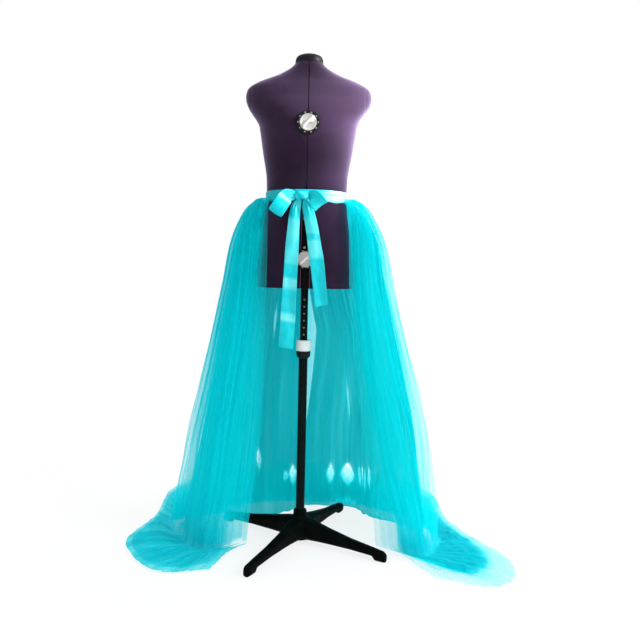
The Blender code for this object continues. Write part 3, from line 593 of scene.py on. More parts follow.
def spun(outline: tuple[Span, ...], steps: int, place: Vector,
         forward: bool = False, bevel: float = 0.0) -> bmesh.types.BMesh:
    """Turn an outline of (radius, height) points about an axis.

    Args:
        outline: the closed outline's points.
        steps: how many steps a full turn has.
        place: where the outline's origin lies.
        forward: true to lay the axis along -Y instead of +Z.
        bevel: how far the outline's corners are rounded.

    Returns:
        The closed shape.
    """
    shape = bmesh.new()
    points = [shape.verts.new((radius, 0.0, height)) for radius, height in outline]
    edges = [shape.edges.new((one, two)) for one, two in zip(points, points[1:])]
    if outline[0][0] > 0.0 or outline[-1][0] > 0.0:
        edges.append(shape.edges.new((points[-1], points[0])))
    if bevel > 0.0:
        corners = [point for point in points if point.co.x > WELD]
        bmesh.ops.bevel(shape, geom=corners, offset=bevel, segments=3, profile=0.5,
                        affect="VERTICES", material=-1)
    bmesh.ops.spin(shape, geom=shape.edges[:], cent=(0, 0, 0), axis=(0, 0, 1),
                   angle=math.tau, steps=steps, use_merge=True)
    bmesh.ops.remove_doubles(shape, verts=shape.verts, dist=WELD)
    bmesh.ops.recalc_face_normals(shape, faces=shape.faces)
    turn = FORWARD if forward else Matrix.Identity(4)
    bmesh.ops.transform(shape, matrix=Matrix.Translation(place) @ turn, verts=shape.verts)
    return shape


@dataclass
class Assembly:
    """What each group of pieces is given: the pole's axis and the materials."""

    pole: np.ndarray
    finishes: Finishes


# ---- the cloth's shape ----
@dataclass(frozen=True)
class FormShape:
    """The dress form's sections, about the pole's axis."""

    squareness: float = 2.2
    # height, half width, front depth and back depth
    sections: tuple = (
        (1.5070, 0.0462, 0.0450, 0.0480),
        (1.5020, 0.0495, 0.0470, 0.0500),
        (1.4870, 0.0680, 0.0500, 0.0560),
        (1.4680, 0.1050, 0.0540, 0.0620),
        (1.4480, 0.1580, 0.0600, 0.0680),
        (1.4300, 0.1880, 0.0680, 0.0740),
        (1.4110, 0.1975, 0.0760, 0.0800),
        (1.3900, 0.1980, 0.0850, 0.0860),
        (1.3710, 0.1920, 0.0940, 0.0910),
        (1.3520, 0.1815, 0.1020, 0.0950),
        (1.3325, 0.1670, 0.1090, 0.0980),
        (1.3135, 0.1560, 0.1145, 0.1000),
        (1.2900, 0.1510, 0.1180, 0.1010),
        (1.2650, 0.1470, 0.1200, 0.1000),
        (1.2380, 0.1430, 0.1175, 0.0970),
        (1.2100, 0.1385, 0.1110, 0.0930),
        (1.1800, 0.1330, 0.1030, 0.0890),
        (1.1500, 0.1285, 0.0975, 0.0860),
        (1.1200, 0.1270, 0.0950, 0.0850),
        (1.0600, 0.1270, 0.0950, 0.0850),
        (1.0200, 0.1315, 0.0980, 0.0920),
        (0.9700, 0.1390, 0.1040, 0.1040),
        (0.9200, 0.1455, 0.1100, 0.1160),
        (0.8800, 0.1495, 0.1130, 0.1220),
        (0.8400, 0.1520, 0.1140, 0.1240),
        (0.8000, 0.1525, 0.1140, 0.1230),
    )
    # height, width and depth of the gap at centre front: a line above the waist
    gaps: tuple = (
        (1.5070, 0.0030, 0.0030), (1.1200, 0.0030, 0.0030), (1.0600, 0.0190, 0.0120),
        (1.0200, 0.0255, 0.0160), (0.9700, 0.0275, 0.0160), (0.9200, 0.0285, 0.0160),
        (0.8800, 0.0290, 0.0160), (0.8000, 0.0290, 0.0160),
    )

    def size_at(self, height: float) -> np.ndarray:
        """Return a section's half width and depths at a height."""
        table = np.array(self.sections[::-1])
        return np.array([np.interp(height, table[:, 0], table[:, column])
                         for column in (1, 2, 3)])

    def gap_at(self, heights: np.ndarray) -> np.ndarray:
        """Return the gap's width and depth at heights, one row a height."""
        table = np.array(self.gaps[::-1])
        return np.stack([np.interp(heights, table[:, 0], table[:, column])
                         for column in (1, 2)], axis=1)

    def plan(self, angles: np.ndarray, size: np.ndarray, offset: float = 0.0) -> np.ndarray:
        """Return plan points of a section at angles from the back.

        Args:
            angles: the angles in radians.
            size: the section's half width, front depth and back depth.
            offset: how far out from the section the points lie.

        Returns:
            The points, one row an angle.
        """
        power = 2.0 / self.squareness
        side, along = np.sin(angles), np.cos(angles)
        depth = np.where(along > 0, size[2], size[1]) + offset
        return np.stack(((size[0] + offset) * np.sign(side) * np.abs(side) ** power,
                         depth * np.sign(along) * np.abs(along) ** power), axis=-1)


@dataclass(frozen=True)
class SkirtNet:
    """The guiding net of the cloth, from its left front edge round the back to the right."""

    seam_offset: float = 0.0030  # out from the form at the waist
    floor_run: float = 1.170     # where the cloth comes down on the floor
    hem_run: float = 1.370
    # waist angle from the back, then x and y at hip, knee, floor and hem
    meridians: tuple = (
        (-118.0, -0.114, -0.112, -0.126, -0.100, -0.172, -0.055, -0.256, -0.226),
        (-98.0, -0.172, -0.105, -0.224, -0.112, -0.284, -0.105, -0.412, -0.236),
        (-80.0, -0.222, -0.058, -0.305, -0.048, -0.366, -0.030, -0.538, -0.050),
        (-61.0, -0.244, 0.020, -0.335, 0.060, -0.425, 0.110, -0.495, 0.165),
        (-41.0, -0.207, 0.112, -0.298, 0.180, -0.336, 0.222, -0.488, 0.440),
        (-20.0, -0.120, 0.180, -0.175, 0.262, -0.203, 0.304, -0.330, 0.690),
        (0.0, 0.000, 0.203, 0.000, 0.288, 0.000, 0.338, 0.000, 0.785),
        (20.0, 0.122, 0.180, 0.178, 0.262, 0.208, 0.314, 0.335, 0.690),
        (41.0, 0.222, 0.112, 0.318, 0.180, 0.350, 0.222, 0.498, 0.440),
        (61.0, 0.265, 0.020, 0.372, 0.055, 0.430, 0.105, 0.512, 0.150),
        (80.0, 0.240, -0.058, 0.346, -0.050, 0.428, -0.055, 0.628, -0.135),
        (98.0, 0.188, -0.104, 0.272, -0.108, 0.360, -0.120, 0.553, -0.290),
        (118.0, 0.132, -0.112, 0.188, -0.095, 0.248, -0.045, 0.385, -0.246),
    )
    # run down the cloth, height, the two plans it lies between with the share of the way,
    # pleat depth, broad wave depth, fine gather depth, and the dense layers' inset and sink
    levels: tuple = (
        (0.000, 1.0657, 0, 1, 0.00, 0.0003, 0.0000, 0.0004, 0.0020, 0.0000),
        (0.010, 1.0635, 0, 1, 0.07, 0.0010, 0.0000, 0.0012, 0.0040, 0.0045),
        (0.034, 1.0740, 0, 1, 0.215, 0.0040, 0.0015, 0.0022, 0.0100, 0.0140),
        (0.078, 1.0510, 0, 1, 0.460, 0.0070, 0.0030, 0.0030, 0.0150, 0.0140),
        (0.150, 0.9850, 0, 1, 0.715, 0.0090, 0.0060, 0.0038, 0.0190, 0.0100),
        (0.340, 0.8000, 0, 1, 1.00, 0.0110, 0.0090, 0.0045, 0.0230, 0.0000),
        (0.790, 0.3600, 1, 2, 1.00, 0.0150, 0.0130, 0.0042, 0.0380, 0.0000),
        (1.060, 0.0950, 2, 3, 0.68, 0.0130, 0.0090, 0.0032, 0.0420, 0.0000),
        (1.170, 0.0000, 2, 3, 1.00, 0.0080, 0.0040, 0.0022, 0.0450, 0.0000),
        (1.370, 0.0000, 3, 4, 1.00, 0.0050, 0.0000, 0.0015, 0.0240, 0.0000),
    )
    broad_waves: float = 9.0
    broad_phase: float = 0.6
    edge_calm: float = 0.20      # share of the folds' depth that is left at a front edge
    edge_reach: float = 0.20     # share of the cloth over which the depth comes back
    # of the pleats' depth: mean, swing, turn from pleat to pleat and phase
    strength: tuple = (0.74, 0.26, 2.1, 0.7)

    def control(self, form: FormShape, inset: float) -> np.ndarray:
        """Return the net's points: one row a level, one column a meridian.

        Args:
            form: the dress form that the waist follows.
            inset: 0 for the outer layer, 1 for the dense inner ones.

        Returns:
            The points, about the pole's axis.
        """
        table = np.array(self.meridians)
        size = form.size_at(self.levels[0][Level.HEIGHT])
        plan = np.empty((5, len(table), 2))
        plan[0] = form.plan(np.radians(table[:, 0]), size, self.seam_offset)
        for level in range(4):
            plan[level + 1] = table[:, 1 + 2 * level:3 + 2 * level]
        net = np.zeros((len(self.levels), len(table), 3))
        for index, level in enumerate(self.levels):
            start, end, share = level[2:5]
            place = plan[start] * (1.0 - share) + plan[end] * share
            along = unit(np.gradient(place, axis=0))
            outward = np.stack((-along[:, 1], along[:, 0]), axis=1)
            net[index, :, :2] = place - outward * level[Level.INSET] * inset
            net[index, :, 2] = level[Level.HEIGHT] - level[Level.SINK] * inset
        return net

    def value(self, column: Level, run: np.ndarray) -> np.ndarray:
        """Read one column of the levels at distances down the cloth."""
        return np.interp(run, [row[Level.RUN] for row in self.levels],
                         [row[column] for row in self.levels])


class Drape:
    """The smooth surface that one layer of cloth follows, before its folds."""

    columns: int = 601
    rows: int = 412
    landing: float = 1.02        # where the folds start to turn level

    def __init__(self, net: SkirtNet, form: FormShape, inset: float) -> None:
        """Work out the surface and its directions on a fine table.

        Args:
            net: the guiding net.
            form: the dress form.
            inset: how far in the layer lies, from 0 to 1.
        """
        self.net = net
        across = np.linspace(0.0, 1.0, self.columns)
        runs = np.linspace(0.0, net.hem_run, self.rows)
        points = net.control(form, inset)
        lines = curve_through(np.linspace(0.0, 1.0, len(net.meridians)),
                              points.transpose(1, 0, 2), across)
        base = curve_through([row[Level.RUN] for row in net.levels],
                             lines.transpose(1, 0, 2), runs)
        base[..., 2] = np.maximum(base[..., 2], 0.0)
        plan_along = unit(np.gradient(base[..., :2], axis=1))
        sideways = np.stack((-plan_along[..., 1], plan_along[..., 0],
                             np.zeros(base.shape[:2])), axis=-1)
        calm = self.calm(across)
        broad = net.value(Level.BROAD, runs)[:, None] * calm * np.sin(
            math.tau * net.broad_waves * across + net.broad_phase)
        base = base + sideways * broad[..., None]
        down = np.gradient(base, runs, axis=0)
        along = np.gradient(base, across, axis=1)
        normal = unit(np.cross(along, down))
        lying = smooth_step(runs, self.landing, net.floor_run)[:, None, None]
        push = unit(normal * (1.0 - lying) + sideways * lying)
        push[0] = sideways[0]
        self.table = np.concatenate((base, sideways, push), axis=-1)

    def calm(self, across: np.ndarray) -> np.ndarray:
        """Return the share of the folds' depth that is left near the front edges."""
        from_edge = np.minimum(across, 1.0 - across)
        return self.net.edge_calm + (1.0 - self.net.edge_calm) * np.clip(
            from_edge / self.net.edge_reach, 0.0, 1.0)

    def read(self, across: np.ndarray, run: np.ndarray
             ) -> tuple[np.ndarray, np.ndarray, np.ndarray]:
        """Return the base, the level outward direction and the folds' direction.

        Args:
            across: places across the cloth, from 0 to 1.
            run: distances down the cloth, in metres.

        Returns:
            Three arrays of vectors.
        """
        column = np.clip(across, 0.0, 1.0) * (self.columns - 1)
        row = np.clip(run / self.net.hem_run, 0.0, 1.0) * (self.rows - 1)
        left = np.minimum(column.astype(int), self.columns - 2)
        upper = np.minimum(row.astype(int), self.rows - 2)
        a, b = (column - left)[..., None], (row - upper)[..., None]
        table = self.table
        found = ((table[upper, left] * (1 - a) + table[upper, left + 1] * a) * (1 - b)
                 + (table[upper + 1, left] * (1 - a) + table[upper + 1, left + 1] * a) * b)
        return found[..., :3], found[..., 3:6], found[..., 6:]


# places where every layer is parted, the windows low in the back and streaks at the sides:
# across and run at the middle, half width across, half length, lean, share taken away
PARTED = (
    (0.4300, 0.970, 0.0050, 0.045, 0.02, 0.94),
    (0.4745, 1.035, 0.0050, 0.022, 0.00, 0.90),
    (0.4860, 1.030, 0.0075, 0.042, 0.02, 0.96),
    (0.5470, 1.030, 0.0070, 0.045, -0.02, 0.94),
    (0.5740, 1.030, 0.0130, 0.050, 0.00, 0.96),
    (0.5960, 1.030, 0.0030, 0.045, 0.03, 0.90),
    (0.6045, 1.025, 0.0030, 0.050, 0.03, 0.92),
    (0.6130, 1.030, 0.0028, 0.045, 0.03, 0.90),
    (0.6210, 1.020, 0.0030, 0.050, 0.03, 0.90),
    (0.5730, 1.115, 0.0220, 0.007, 0.00, 0.80),
    (0.4400, 0.470, 0.0028, 0.070, 0.00, 0.80),
    (0.5800, 0.750, 0.0026, 0.090, 0.01, 0.80),
    (0.1500, 0.760, 0.0070, 0.130, -0.02, 0.62),
    (0.1980, 0.970, 0.0070, 0.022, 0.00, 0.75),
    (0.0260, 1.138, 0.0300, 0.026, 0.30, 0.86),
    (0.9120, 0.920, 0.0030, 0.048, 0.00, 0.75),
    (0.8800, 0.965, 0.0045, 0.048, 0.00, 0.80),
    (0.9860, 0.620, 0.0026, 0.300, 0.00, 0.72),
    (0.8450, 0.640, 0.0030, 0.200, 0.01, 0.60),
)


@dataclass
class NetLayer:
    """One layer of net: its edges, folds, creases and how dense it is."""

    name: str
    stands_for: tuple[str, ...]
    slot: Slot
    flat: Span
    flat_area: float
    inset: float = 0.0
    left_edge: tuple = ((0.0, 0.0), (1.37, 0.0))         # run, place across
    right_edge: tuple = ((0.0, 1.0), (1.37, 1.0))
    hem: tuple = ((0.0, 1.37), (1.0, 1.37))              # place across, run
    hem_wobble: float = 0.003
    crowding: float = 0.055                              # how close rows are at the gathers
    drift: float = 0.30                                  # pleats that the columns wander by
    drift_pleats: float = 5.3                            # pleats from one drift to the next
    lying: float = 0.10                                  # run in which the cloth lies down
    rows: int = 128
    columns: int = 672
    pleats: float = 32.0
    gathers: float = 92.0
    seed: int = 3
    lift: float = 0.0                                    # out from the folds' own surface
    floor_rise: float = 0.0                              # above the floor's first heap
    # across, then layers of net at the waist and down the cloth at the density runs
    density_runs: tuple = (0.0, 0.08, 0.34, 0.60, 0.90, 1.06, 1.12, 1.19, 1.29, 1.32, 1.37)
    density: tuple = ((0.0, *(1.0,) * 11), (1.0, *(1.0,) * 11))
    windows: tuple = PARTED
    # place across, and how far the hem is drawn in towards the pole
    pooled: tuple = ((0.0, 0.0), (1.0, 0.0))
    # across at the top and bottom, run at the top and bottom, half width, height
    creases: tuple = ()
    # lying cloth's height: least, rumples, ridges, folds and pleats that fan out
    heap_heights: tuple = (0.0030, 0.0085, 0.0050, 0.0065, 0.0018)
    heap_span: tuple = (0.18, 0.85)                      # share of it as the cloth lies down
    hem_press: float = 0.55                              # share of it that the hem loses
    hem_reach: float = 0.035

    def grid(self) -> tuple[np.ndarray, np.ndarray, np.ndarray]:
        """Return (row, column) arrays of places across, distances down and columns' shares."""
        even = np.linspace(0.0, 1.0, self.columns)
        share = np.linspace(0.0, 1.0, self.rows)
        # rows lie closer together at the gathers
        share = share - self.crowding * np.sin(math.tau * share) * (share < 0.5)
        hem = follow(self.hem, even)
        hem = hem - self.hem_wobble * (0.5 + 0.5 * wander(even * 21.0, self.seed + 9))
        run = share[:, None] * hem
        drift = self.drift / self.pleats * np.sin(
            math.tau * even * self.pleats / self.drift_pleats)
        drift = drift - (drift[0] * (1.0 - even) + drift[-1] * even)
        left = follow(self.left_edge, run)
        right = follow(self.right_edge, run)
        across = left + (right - left) * (even + drift)
        return across, run, np.broadcast_to(even, across.shape)

    def fold_depth(self, drape: Drape, across: np.ndarray, run: np.ndarray,
                   even: np.ndarray) -> np.ndarray:
        """Return how far the folds stand out from the smooth surface.

        Args:
            drape: the surface.
            across: places across the cloth.
            run: distances down it.
            even: the columns' own share.

        Returns:
            The depth in metres at each point.
        """
        net = drape.net
        calm = drape.calm(across)
        mean, swing, turn, phase = net.strength
        strength = mean + swing * np.sin(turn * even * self.pleats + phase)
        slide = 0.55 * wander(even * 3.0 + run * 0.8, self.seed + 1) * smooth_step(
            run, 0.12, 0.9)
        angle = math.tau * (even * self.pleats + slide)
        wave = 0.5 + 0.5 * strength * (0.86 * np.cos(angle) + 0.14 * np.cos(2 * angle + 0.6))
        depth = net.value(Level.PLEAT, run) * calm * wave
        gather = net.value(Level.FINE, run)
        fine = math.tau * (even * self.gathers + 1.1 * wander(even * 13.0 + run * 0.5,
                                                              self.seed + 2))
        uneven = 0.62 + 0.38 * wander(even * 17.0 - run * 0.9, self.seed + 3)
        depth = depth + gather * np.clip(calm + 0.25, 0.0, 1.0) * uneven * (
            0.5 + 0.5 * np.cos(fine))
        finer = math.tau * (even * self.gathers * 2.3
                            + 0.8 * wander(even * 31.0, self.seed + 4))
        depth = depth + gather * 0.22 * (0.5 + 0.5 * np.cos(finer)) * (
            1.0 - smooth_step(run, 0.10, 0.45))
        for top, bottom, start, end, width, height in self.creases:
            way = np.clip((run - start) / (end - start), 0.0, 1.0)
            off = (across - (top + (bottom - top) * way)) / width
            fade = smooth_step(run, start - 0.03, start + 0.07) * (
                1.0 - smooth_step(run, end - 0.10, end + 0.03))
            depth = depth + height * np.exp(-np.abs(off) ** 1.5) * fade
        return depth

    def lain(self, run: np.ndarray, net: SkirtNet) -> np.ndarray:
        """Return how far the cloth has come to lie on the floor, from 0 to 1."""
        return np.clip((run - net.floor_run) / self.lying, 0.0, 1.0)

    def heap(self, across: np.ndarray, run: np.ndarray, even: np.ndarray,
             net: SkirtNet) -> np.ndarray:
        """Return how high the crumpled cloth stands above the floor.

        Args:
            across: places across the cloth.
            run: distances down it.
            even: the columns' own share.
            net: the guiding net.

        Returns:
            The height in metres at each point.
        """
        least, rumples, ridges, folds, fan = self.heap_heights
        rumple = 0.5 + 0.5 * np.sin(math.tau * 5.0 * across + 31.0 * run)
        ridge = 1.0 - np.abs(wander(across * 26.0 + run * 5.0, self.seed + 5))
        fold = 1.0 - np.abs(wander(across * 9.0 - run * 11.0, self.seed + 6))
        radial = 0.5 + 0.5 * np.cos(math.tau * (even * self.pleats * 1.5 + 2.0 * run))
        crisp = ridges * np.clip(ridge, 0, 1) ** 3 + folds * np.clip(fold, 0, 1) ** 4
        rise = least + (rumples * rumple + crisp + fan * radial) * np.clip(
            self.lain(run, net), *self.heap_span)
        near_hem = 1.0 - self.hem_press * smooth_step(
            run, net.hem_run - self.hem_reach, net.hem_run)
        return rise * near_hem + self.floor_rise

    def layer_count(self, across: np.ndarray, run: np.ndarray) -> np.ndarray:
        """Return how many layers of net lie at each point.

        Args:
            across: places across the cloth.
            run: distances down it.

        Returns:
            The count, not whole, at each point.
        """
        table = np.array(self.density)
        down = np.stack([np.interp(run, self.density_runs, row[1:]) for row in table])
        place = np.clip(np.searchsorted(table[:, 0], across, side="right") - 1, 0,
                        len(table) - 2)
        share = (across - table[place, 0]) / (table[place + 1, 0] - table[place, 0])
        rows, columns = np.indices(across.shape)
        count = down[place, rows, columns] * (1 - share) + down[place + 1, rows,
                                                                columns] * share
        for middle, height, half, length, lean, share_off in self.windows:
            tall = (run - height) / length
            wide = (across - middle - lean * (run - height)) / half
            # a lens: its ends are pointed and its sides bow out
            inside = np.clip(1.0 - np.abs(tall) ** 1.6, 0.0, 1.0) - np.abs(wide)
            count = count * (1.0 - share_off * smooth_step(inside, -0.05, 0.22))
        return np.maximum(count, 0.0)

    def build(self, net: SkirtNet, form: FormShape, pole: np.ndarray,
              look: bpy.types.Material) -> bpy.types.Object:
        """Build the layer as one sheet and return it.

        Args:
            net: the guiding net.
            form: the dress form.
            pole: the pole's axis.
            look: the net's material.

        Returns:
            The piece.
        """
        drape = Drape(net, form, self.inset)
        across, run, even = self.grid()
        base, sideways, push = drape.read(across, run)
        depth = self.fold_depth(drape, across, run, even) + self.lift
        standing = 1.0 - self.lain(run, net)
        points = base + push * (depth * standing)[..., None]
        heap = self.heap(across, run, even, net)
        drawn = follow(self.pooled, across) * smooth_step(run, 0.90, 1.18)
        points = points - sideways * drawn[..., None]
        near = smooth_step(run, net.floor_run - self.lying, net.floor_run + 0.005)
        points[..., 2] = np.maximum(points[..., 2] * (1.0 - near) + heap * near,
                                    0.0015 + self.floor_rise)
        cloth = np.stack((even * self.flat[0], run), axis=-1)
        mesh = sheet_mesh(points + pole, cloth, self.layer_count(across, run))
        face_from(mesh, pole + HEART)
        piece = finish_object(self.name, mesh, look, stands_for=self.stands_for)
        return piece


WIDTHS = ("left_front", "left_side", "left_back", "right_back", "right_side", "right_front")
OUTER_NODES = tuple(f"tulle_outer_{width}" for width in WIDTHS)
INNER_NODES = tuple(f"tulle_inner_{width}" for width in WIDTHS)
DENSE_HALF = {"flat": (1.00, 1.20), "flat_area": 0.80, "inset": 1.0, "pleats": 13.0,
              "gathers": 44.0, "columns": 360, "rows": 110, "hem_wobble": 0.012}


@dataclass
class Overskirt(Assembly):
    """The layers of net, from the outermost in."""

    form: FormShape = field(default_factory=FormShape)
    net: SkirtNet = field(default_factory=SkirtNet)
    layers: tuple[NetLayer, ...] = (
        NetLayer(
            "tulle_sheer", OUTER_NODES, Slot.TULLE, flat=(3.30, 1.37), flat_area=2.75,
            lift=0.0022, floor_rise=0.0015, seed=3,
            density=(
                (0.000, 1.6, 0.28, 0.26, 0.36, 0.50, 0.60, 0.80, 2.20, 2.40, 2.20, 1.80),
                (0.040, 1.7, 0.32, 0.30, 0.48, 0.75, 1.00, 1.60, 3.00, 3.00, 2.80, 2.40),
                (0.075, 2.0, 1.30, 0.80, 0.80, 0.90, 1.60, 2.40, 2.80, 2.80, 2.60, 2.40),
                (0.160, 2.2, 1.80, 1.40, 1.10, 0.90, 1.40, 2.60, 2.80, 2.80, 2.70, 2.60),
                (0.215, 2.2, 1.70, 1.30, 0.80, 0.42, 0.45, 1.60, 2.60, 2.60, 2.40, 2.00),
                (0.300, 2.2, 1.50, 1.10, 0.60, 0.30, 0.30, 0.80, 2.20, 2.40, 2.20, 1.60),
                (0.400, 2.2, 1.30, 1.00, 0.90, 0.90, 0.90, 1.20, 1.60, 0.70, 0.50, 0.40),
                (0.600, 2.2, 1.20, 0.90, 0.80, 0.80, 0.80, 1.20, 1.60, 0.70, 0.50, 0.40),
                (0.690, 2.2, 0.60, 0.32, 0.30, 0.30, 0.30, 0.80, 2.60, 2.80, 2.20, 1.40),
                (0.800, 2.2, 0.55, 0.32, 0.30, 0.28, 0.28, 1.20, 3.40, 3.60, 0.90, 0.66),
                (0.880, 2.0, 0.60, 0.35, 0.32, 0.30, 0.45, 1.80, 3.40, 3.60, 0.90, 0.64),
                (0.940, 1.8, 0.60, 0.40, 0.40, 0.50, 1.20, 2.60, 3.00, 2.40, 0.80, 0.60),
                (0.958, 1.8, 0.55, 0.40, 0.40, 0.45, 0.45, 0.50, 0.50, 0.50, 0.50, 0.45),
                (1.000, 1.6, 0.45, 0.35, 0.35, 0.35, 0.35, 0.40, 0.42, 0.45, 0.45, 0.45),
            ),
            creases=(
                (0.045, 0.030, 0.06, 1.05, 0.0045, 0.0090),
                (0.082, 0.090, 0.10, 0.80, 0.0050, 0.0080),
                (0.110, 0.100, 0.35, 1.12, 0.0060, 0.0110),
                (0.150, 0.172, 0.12, 0.95, 0.0050, 0.0080),
                (0.205, 0.188, 0.30, 1.10, 0.0060, 0.0100),
                (0.262, 0.280, 0.10, 0.88, 0.0050, 0.0080),
                (0.330, 0.318, 0.28, 1.12, 0.0065, 0.0120),
                (0.395, 0.410, 0.15, 0.92, 0.0050, 0.0090),
                (0.452, 0.440, 0.30, 1.10, 0.0060, 0.0100),
                (0.520, 0.538, 0.12, 0.98, 0.0055, 0.0090),
                (0.585, 0.570, 0.32, 1.12, 0.0060, 0.0110),
                (0.640, 0.662, 0.10, 0.85, 0.0050, 0.0080),
                (0.705, 0.690, 0.28, 1.08, 0.0065, 0.0110),
                (0.765, 0.778, 0.12, 0.90, 0.0050, 0.0090),
                (0.812, 0.800, 0.40, 1.12, 0.0060, 0.0120),
                (0.846, 0.862, 0.10, 0.86, 0.0045, 0.0080),
                (0.885, 0.872, 0.32, 1.10, 0.0050, 0.0100),
                (0.918, 0.930, 0.08, 0.95, 0.0045, 0.0090),
                (0.952, 0.962, 0.10, 1.06, 0.0045, 0.0090),
                (0.972, 0.985, 0.25, 1.10, 0.0040, 0.0070),
            )),
        NetLayer(
            "tulle_veil", OUTER_NODES, Slot.TULLE, flat=(2.60, 1.36), flat_area=2.35,
            inset=0.30, seed=41, pleats=29.0, gathers=78.0, columns=560, rows=118,
            left_edge=((0.0, 0.004), (1.37, 0.012)),
            right_edge=((0.0, 0.996), (1.37, 0.988)),
            hem=((0.0, 1.34), (0.1, 1.36), (0.5, 1.36), (0.82, 1.33), (0.9, 1.31),
                 (1.0, 1.33)),
            density=(
                (0.000, 1.6, 0.15, 0.15, 0.20, 0.25, 0.30, 0.40, 1.20, 1.40, 1.30, 1.10),
                (0.040, 1.7, 0.12, 0.12, 0.25, 0.40, 0.50, 0.90, 1.80, 1.80, 1.60, 1.40),
                (0.075, 2.0, 1.20, 0.80, 0.70, 0.70, 1.20, 1.80, 2.20, 2.20, 2.00, 1.60),
                (0.160, 2.2, 1.50, 1.10, 0.90, 0.70, 1.20, 2.00, 2.20, 2.20, 2.00, 1.60),
                (0.215, 2.2, 1.40, 1.00, 0.60, 0.35, 0.40, 1.40, 2.00, 2.00, 1.80, 1.40),
                (0.300, 2.2, 1.20, 0.90, 0.50, 0.25, 0.25, 0.80, 1.80, 1.80, 1.60, 1.20),
                (0.400, 2.2, 1.20, 0.90, 0.80, 0.80, 0.80, 1.00, 1.20, 0.50, 0.40, 0.30),
                (0.600, 2.2, 1.10, 0.80, 0.70, 0.70, 0.70, 1.00, 1.20, 0.50, 0.40, 0.30),
                (0.690, 2.2, 0.50, 0.25, 0.25, 0.22, 0.22, 0.80, 2.20, 2.20, 1.60, 0.90),
                (0.800, 2.2, 0.45, 0.25, 0.22, 0.20, 0.22, 1.10, 3.00, 3.00, 0.45, 0.30),
                (0.880, 2.0, 0.50, 0.28, 0.25, 0.25, 0.35, 1.60, 3.00, 3.00, 0.45, 0.30),
                (0.940, 1.8, 0.50, 0.30, 0.30, 0.40, 1.00, 2.20, 2.60, 2.00, 0.45, 0.30),
                (0.958, 1.8, 0.40, 0.25, 0.25, 0.30, 0.30, 0.35, 0.35, 0.35, 0.30, 0.30),
                (1.000, 1.6, 0.30, 0.20, 0.20, 0.25, 0.25, 0.30, 0.30, 0.30, 0.30, 0.30),
            )),
        NetLayer(
            "gathered_left", INNER_NODES[:3], Slot.TULLE_DENSE, **DENSE_HALF, seed=71,
            left_edge=((0.0, 0.040), (0.5, 0.034), (1.22, 0.046)),
            right_edge=((0.0, 0.4965), (0.3, 0.4985), (0.62, 0.4990), (0.95, 0.4985),
                        (1.22, 0.496)),
            hem=((0.0, 1.185), (0.3, 1.20), (0.6, 1.19), (1.0, 1.175)),
            pooled=((0.0, 0.0), (0.31, 0.0), (0.36, 0.028), (0.40, 0.062), (0.43, 0.090),
                    (0.46, 0.092), (0.485, 0.060), (0.499, 0.015)),
            density=(
                (0.030, 2.4, 0.25, 0.25, 0.35, 0.40, 0.40, 0.50, 0.60, 0.60, 0.60, 0.60),
                (0.055, 2.4, 0.25, 0.25, 0.50, 0.70, 0.80, 0.90, 1.00, 1.00, 1.00, 1.00),
                (0.085, 3.0, 2.60, 2.20, 1.90, 1.80, 1.90, 2.20, 1.60, 1.60, 1.60, 1.60),
                (0.300, 3.0, 2.60, 2.40, 2.20, 2.00, 2.00, 2.20, 2.20, 1.60, 1.60, 1.60),
                (0.360, 3.2, 3.40, 3.80, 3.80, 3.80, 3.80, 3.60, 3.40, 3.00, 3.00, 3.00),
                (0.500, 3.2, 3.40, 3.80, 3.80, 3.80, 3.80, 3.60, 3.40, 3.00, 3.00, 3.00),
            )),
        NetLayer(
            "gathered_right", INNER_NODES[3:], Slot.TULLE_DENSE, **DENSE_HALF, seed=97,
            left_edge=((0.0, 0.5035), (0.32, 0.5075), (0.50, 0.529), (0.84, 0.507),
                       (1.22, 0.504)),
            right_edge=((0.0, 0.960), (0.5, 0.966), (1.22, 0.954)),
            hem=((0.0, 1.175), (0.4, 1.19), (0.7, 1.20), (1.0, 1.185)),
            pooled=((0.585, 0.0), (0.61, 0.035), (0.66, 0.050), (0.72, 0.030), (0.78, 0.0)),
            density=(
                (0.500, 3.2, 3.40, 3.60, 3.60, 3.60, 3.60, 3.60, 3.40, 3.00, 3.00, 3.00),
                (0.620, 3.2, 3.20, 3.40, 3.40, 3.40, 3.40, 3.40, 3.20, 3.00, 3.00, 3.00),
                (0.720, 3.0, 2.60, 2.40, 2.30, 2.20, 2.20, 2.40, 2.40, 2.00, 2.00, 2.00),
                (0.940, 3.0, 2.60, 2.30, 2.10, 2.00, 2.00, 2.00, 1.60, 1.60, 1.60, 1.60),
                (0.966, 2.4, 0.80, 0.60, 0.60, 0.50, 0.40, 0.40, 0.40, 0.40, 0.40, 0.40),
            )),
    )

    def build(self) -> None:
        """Build every layer of net."""
        for layer in self.layers:
            dense = layer.slot is Slot.TULLE_DENSE
            look = self.finishes.dense if dense else self.finishes.sheer
            layer.build(self.net, self.form, self.pole, look)


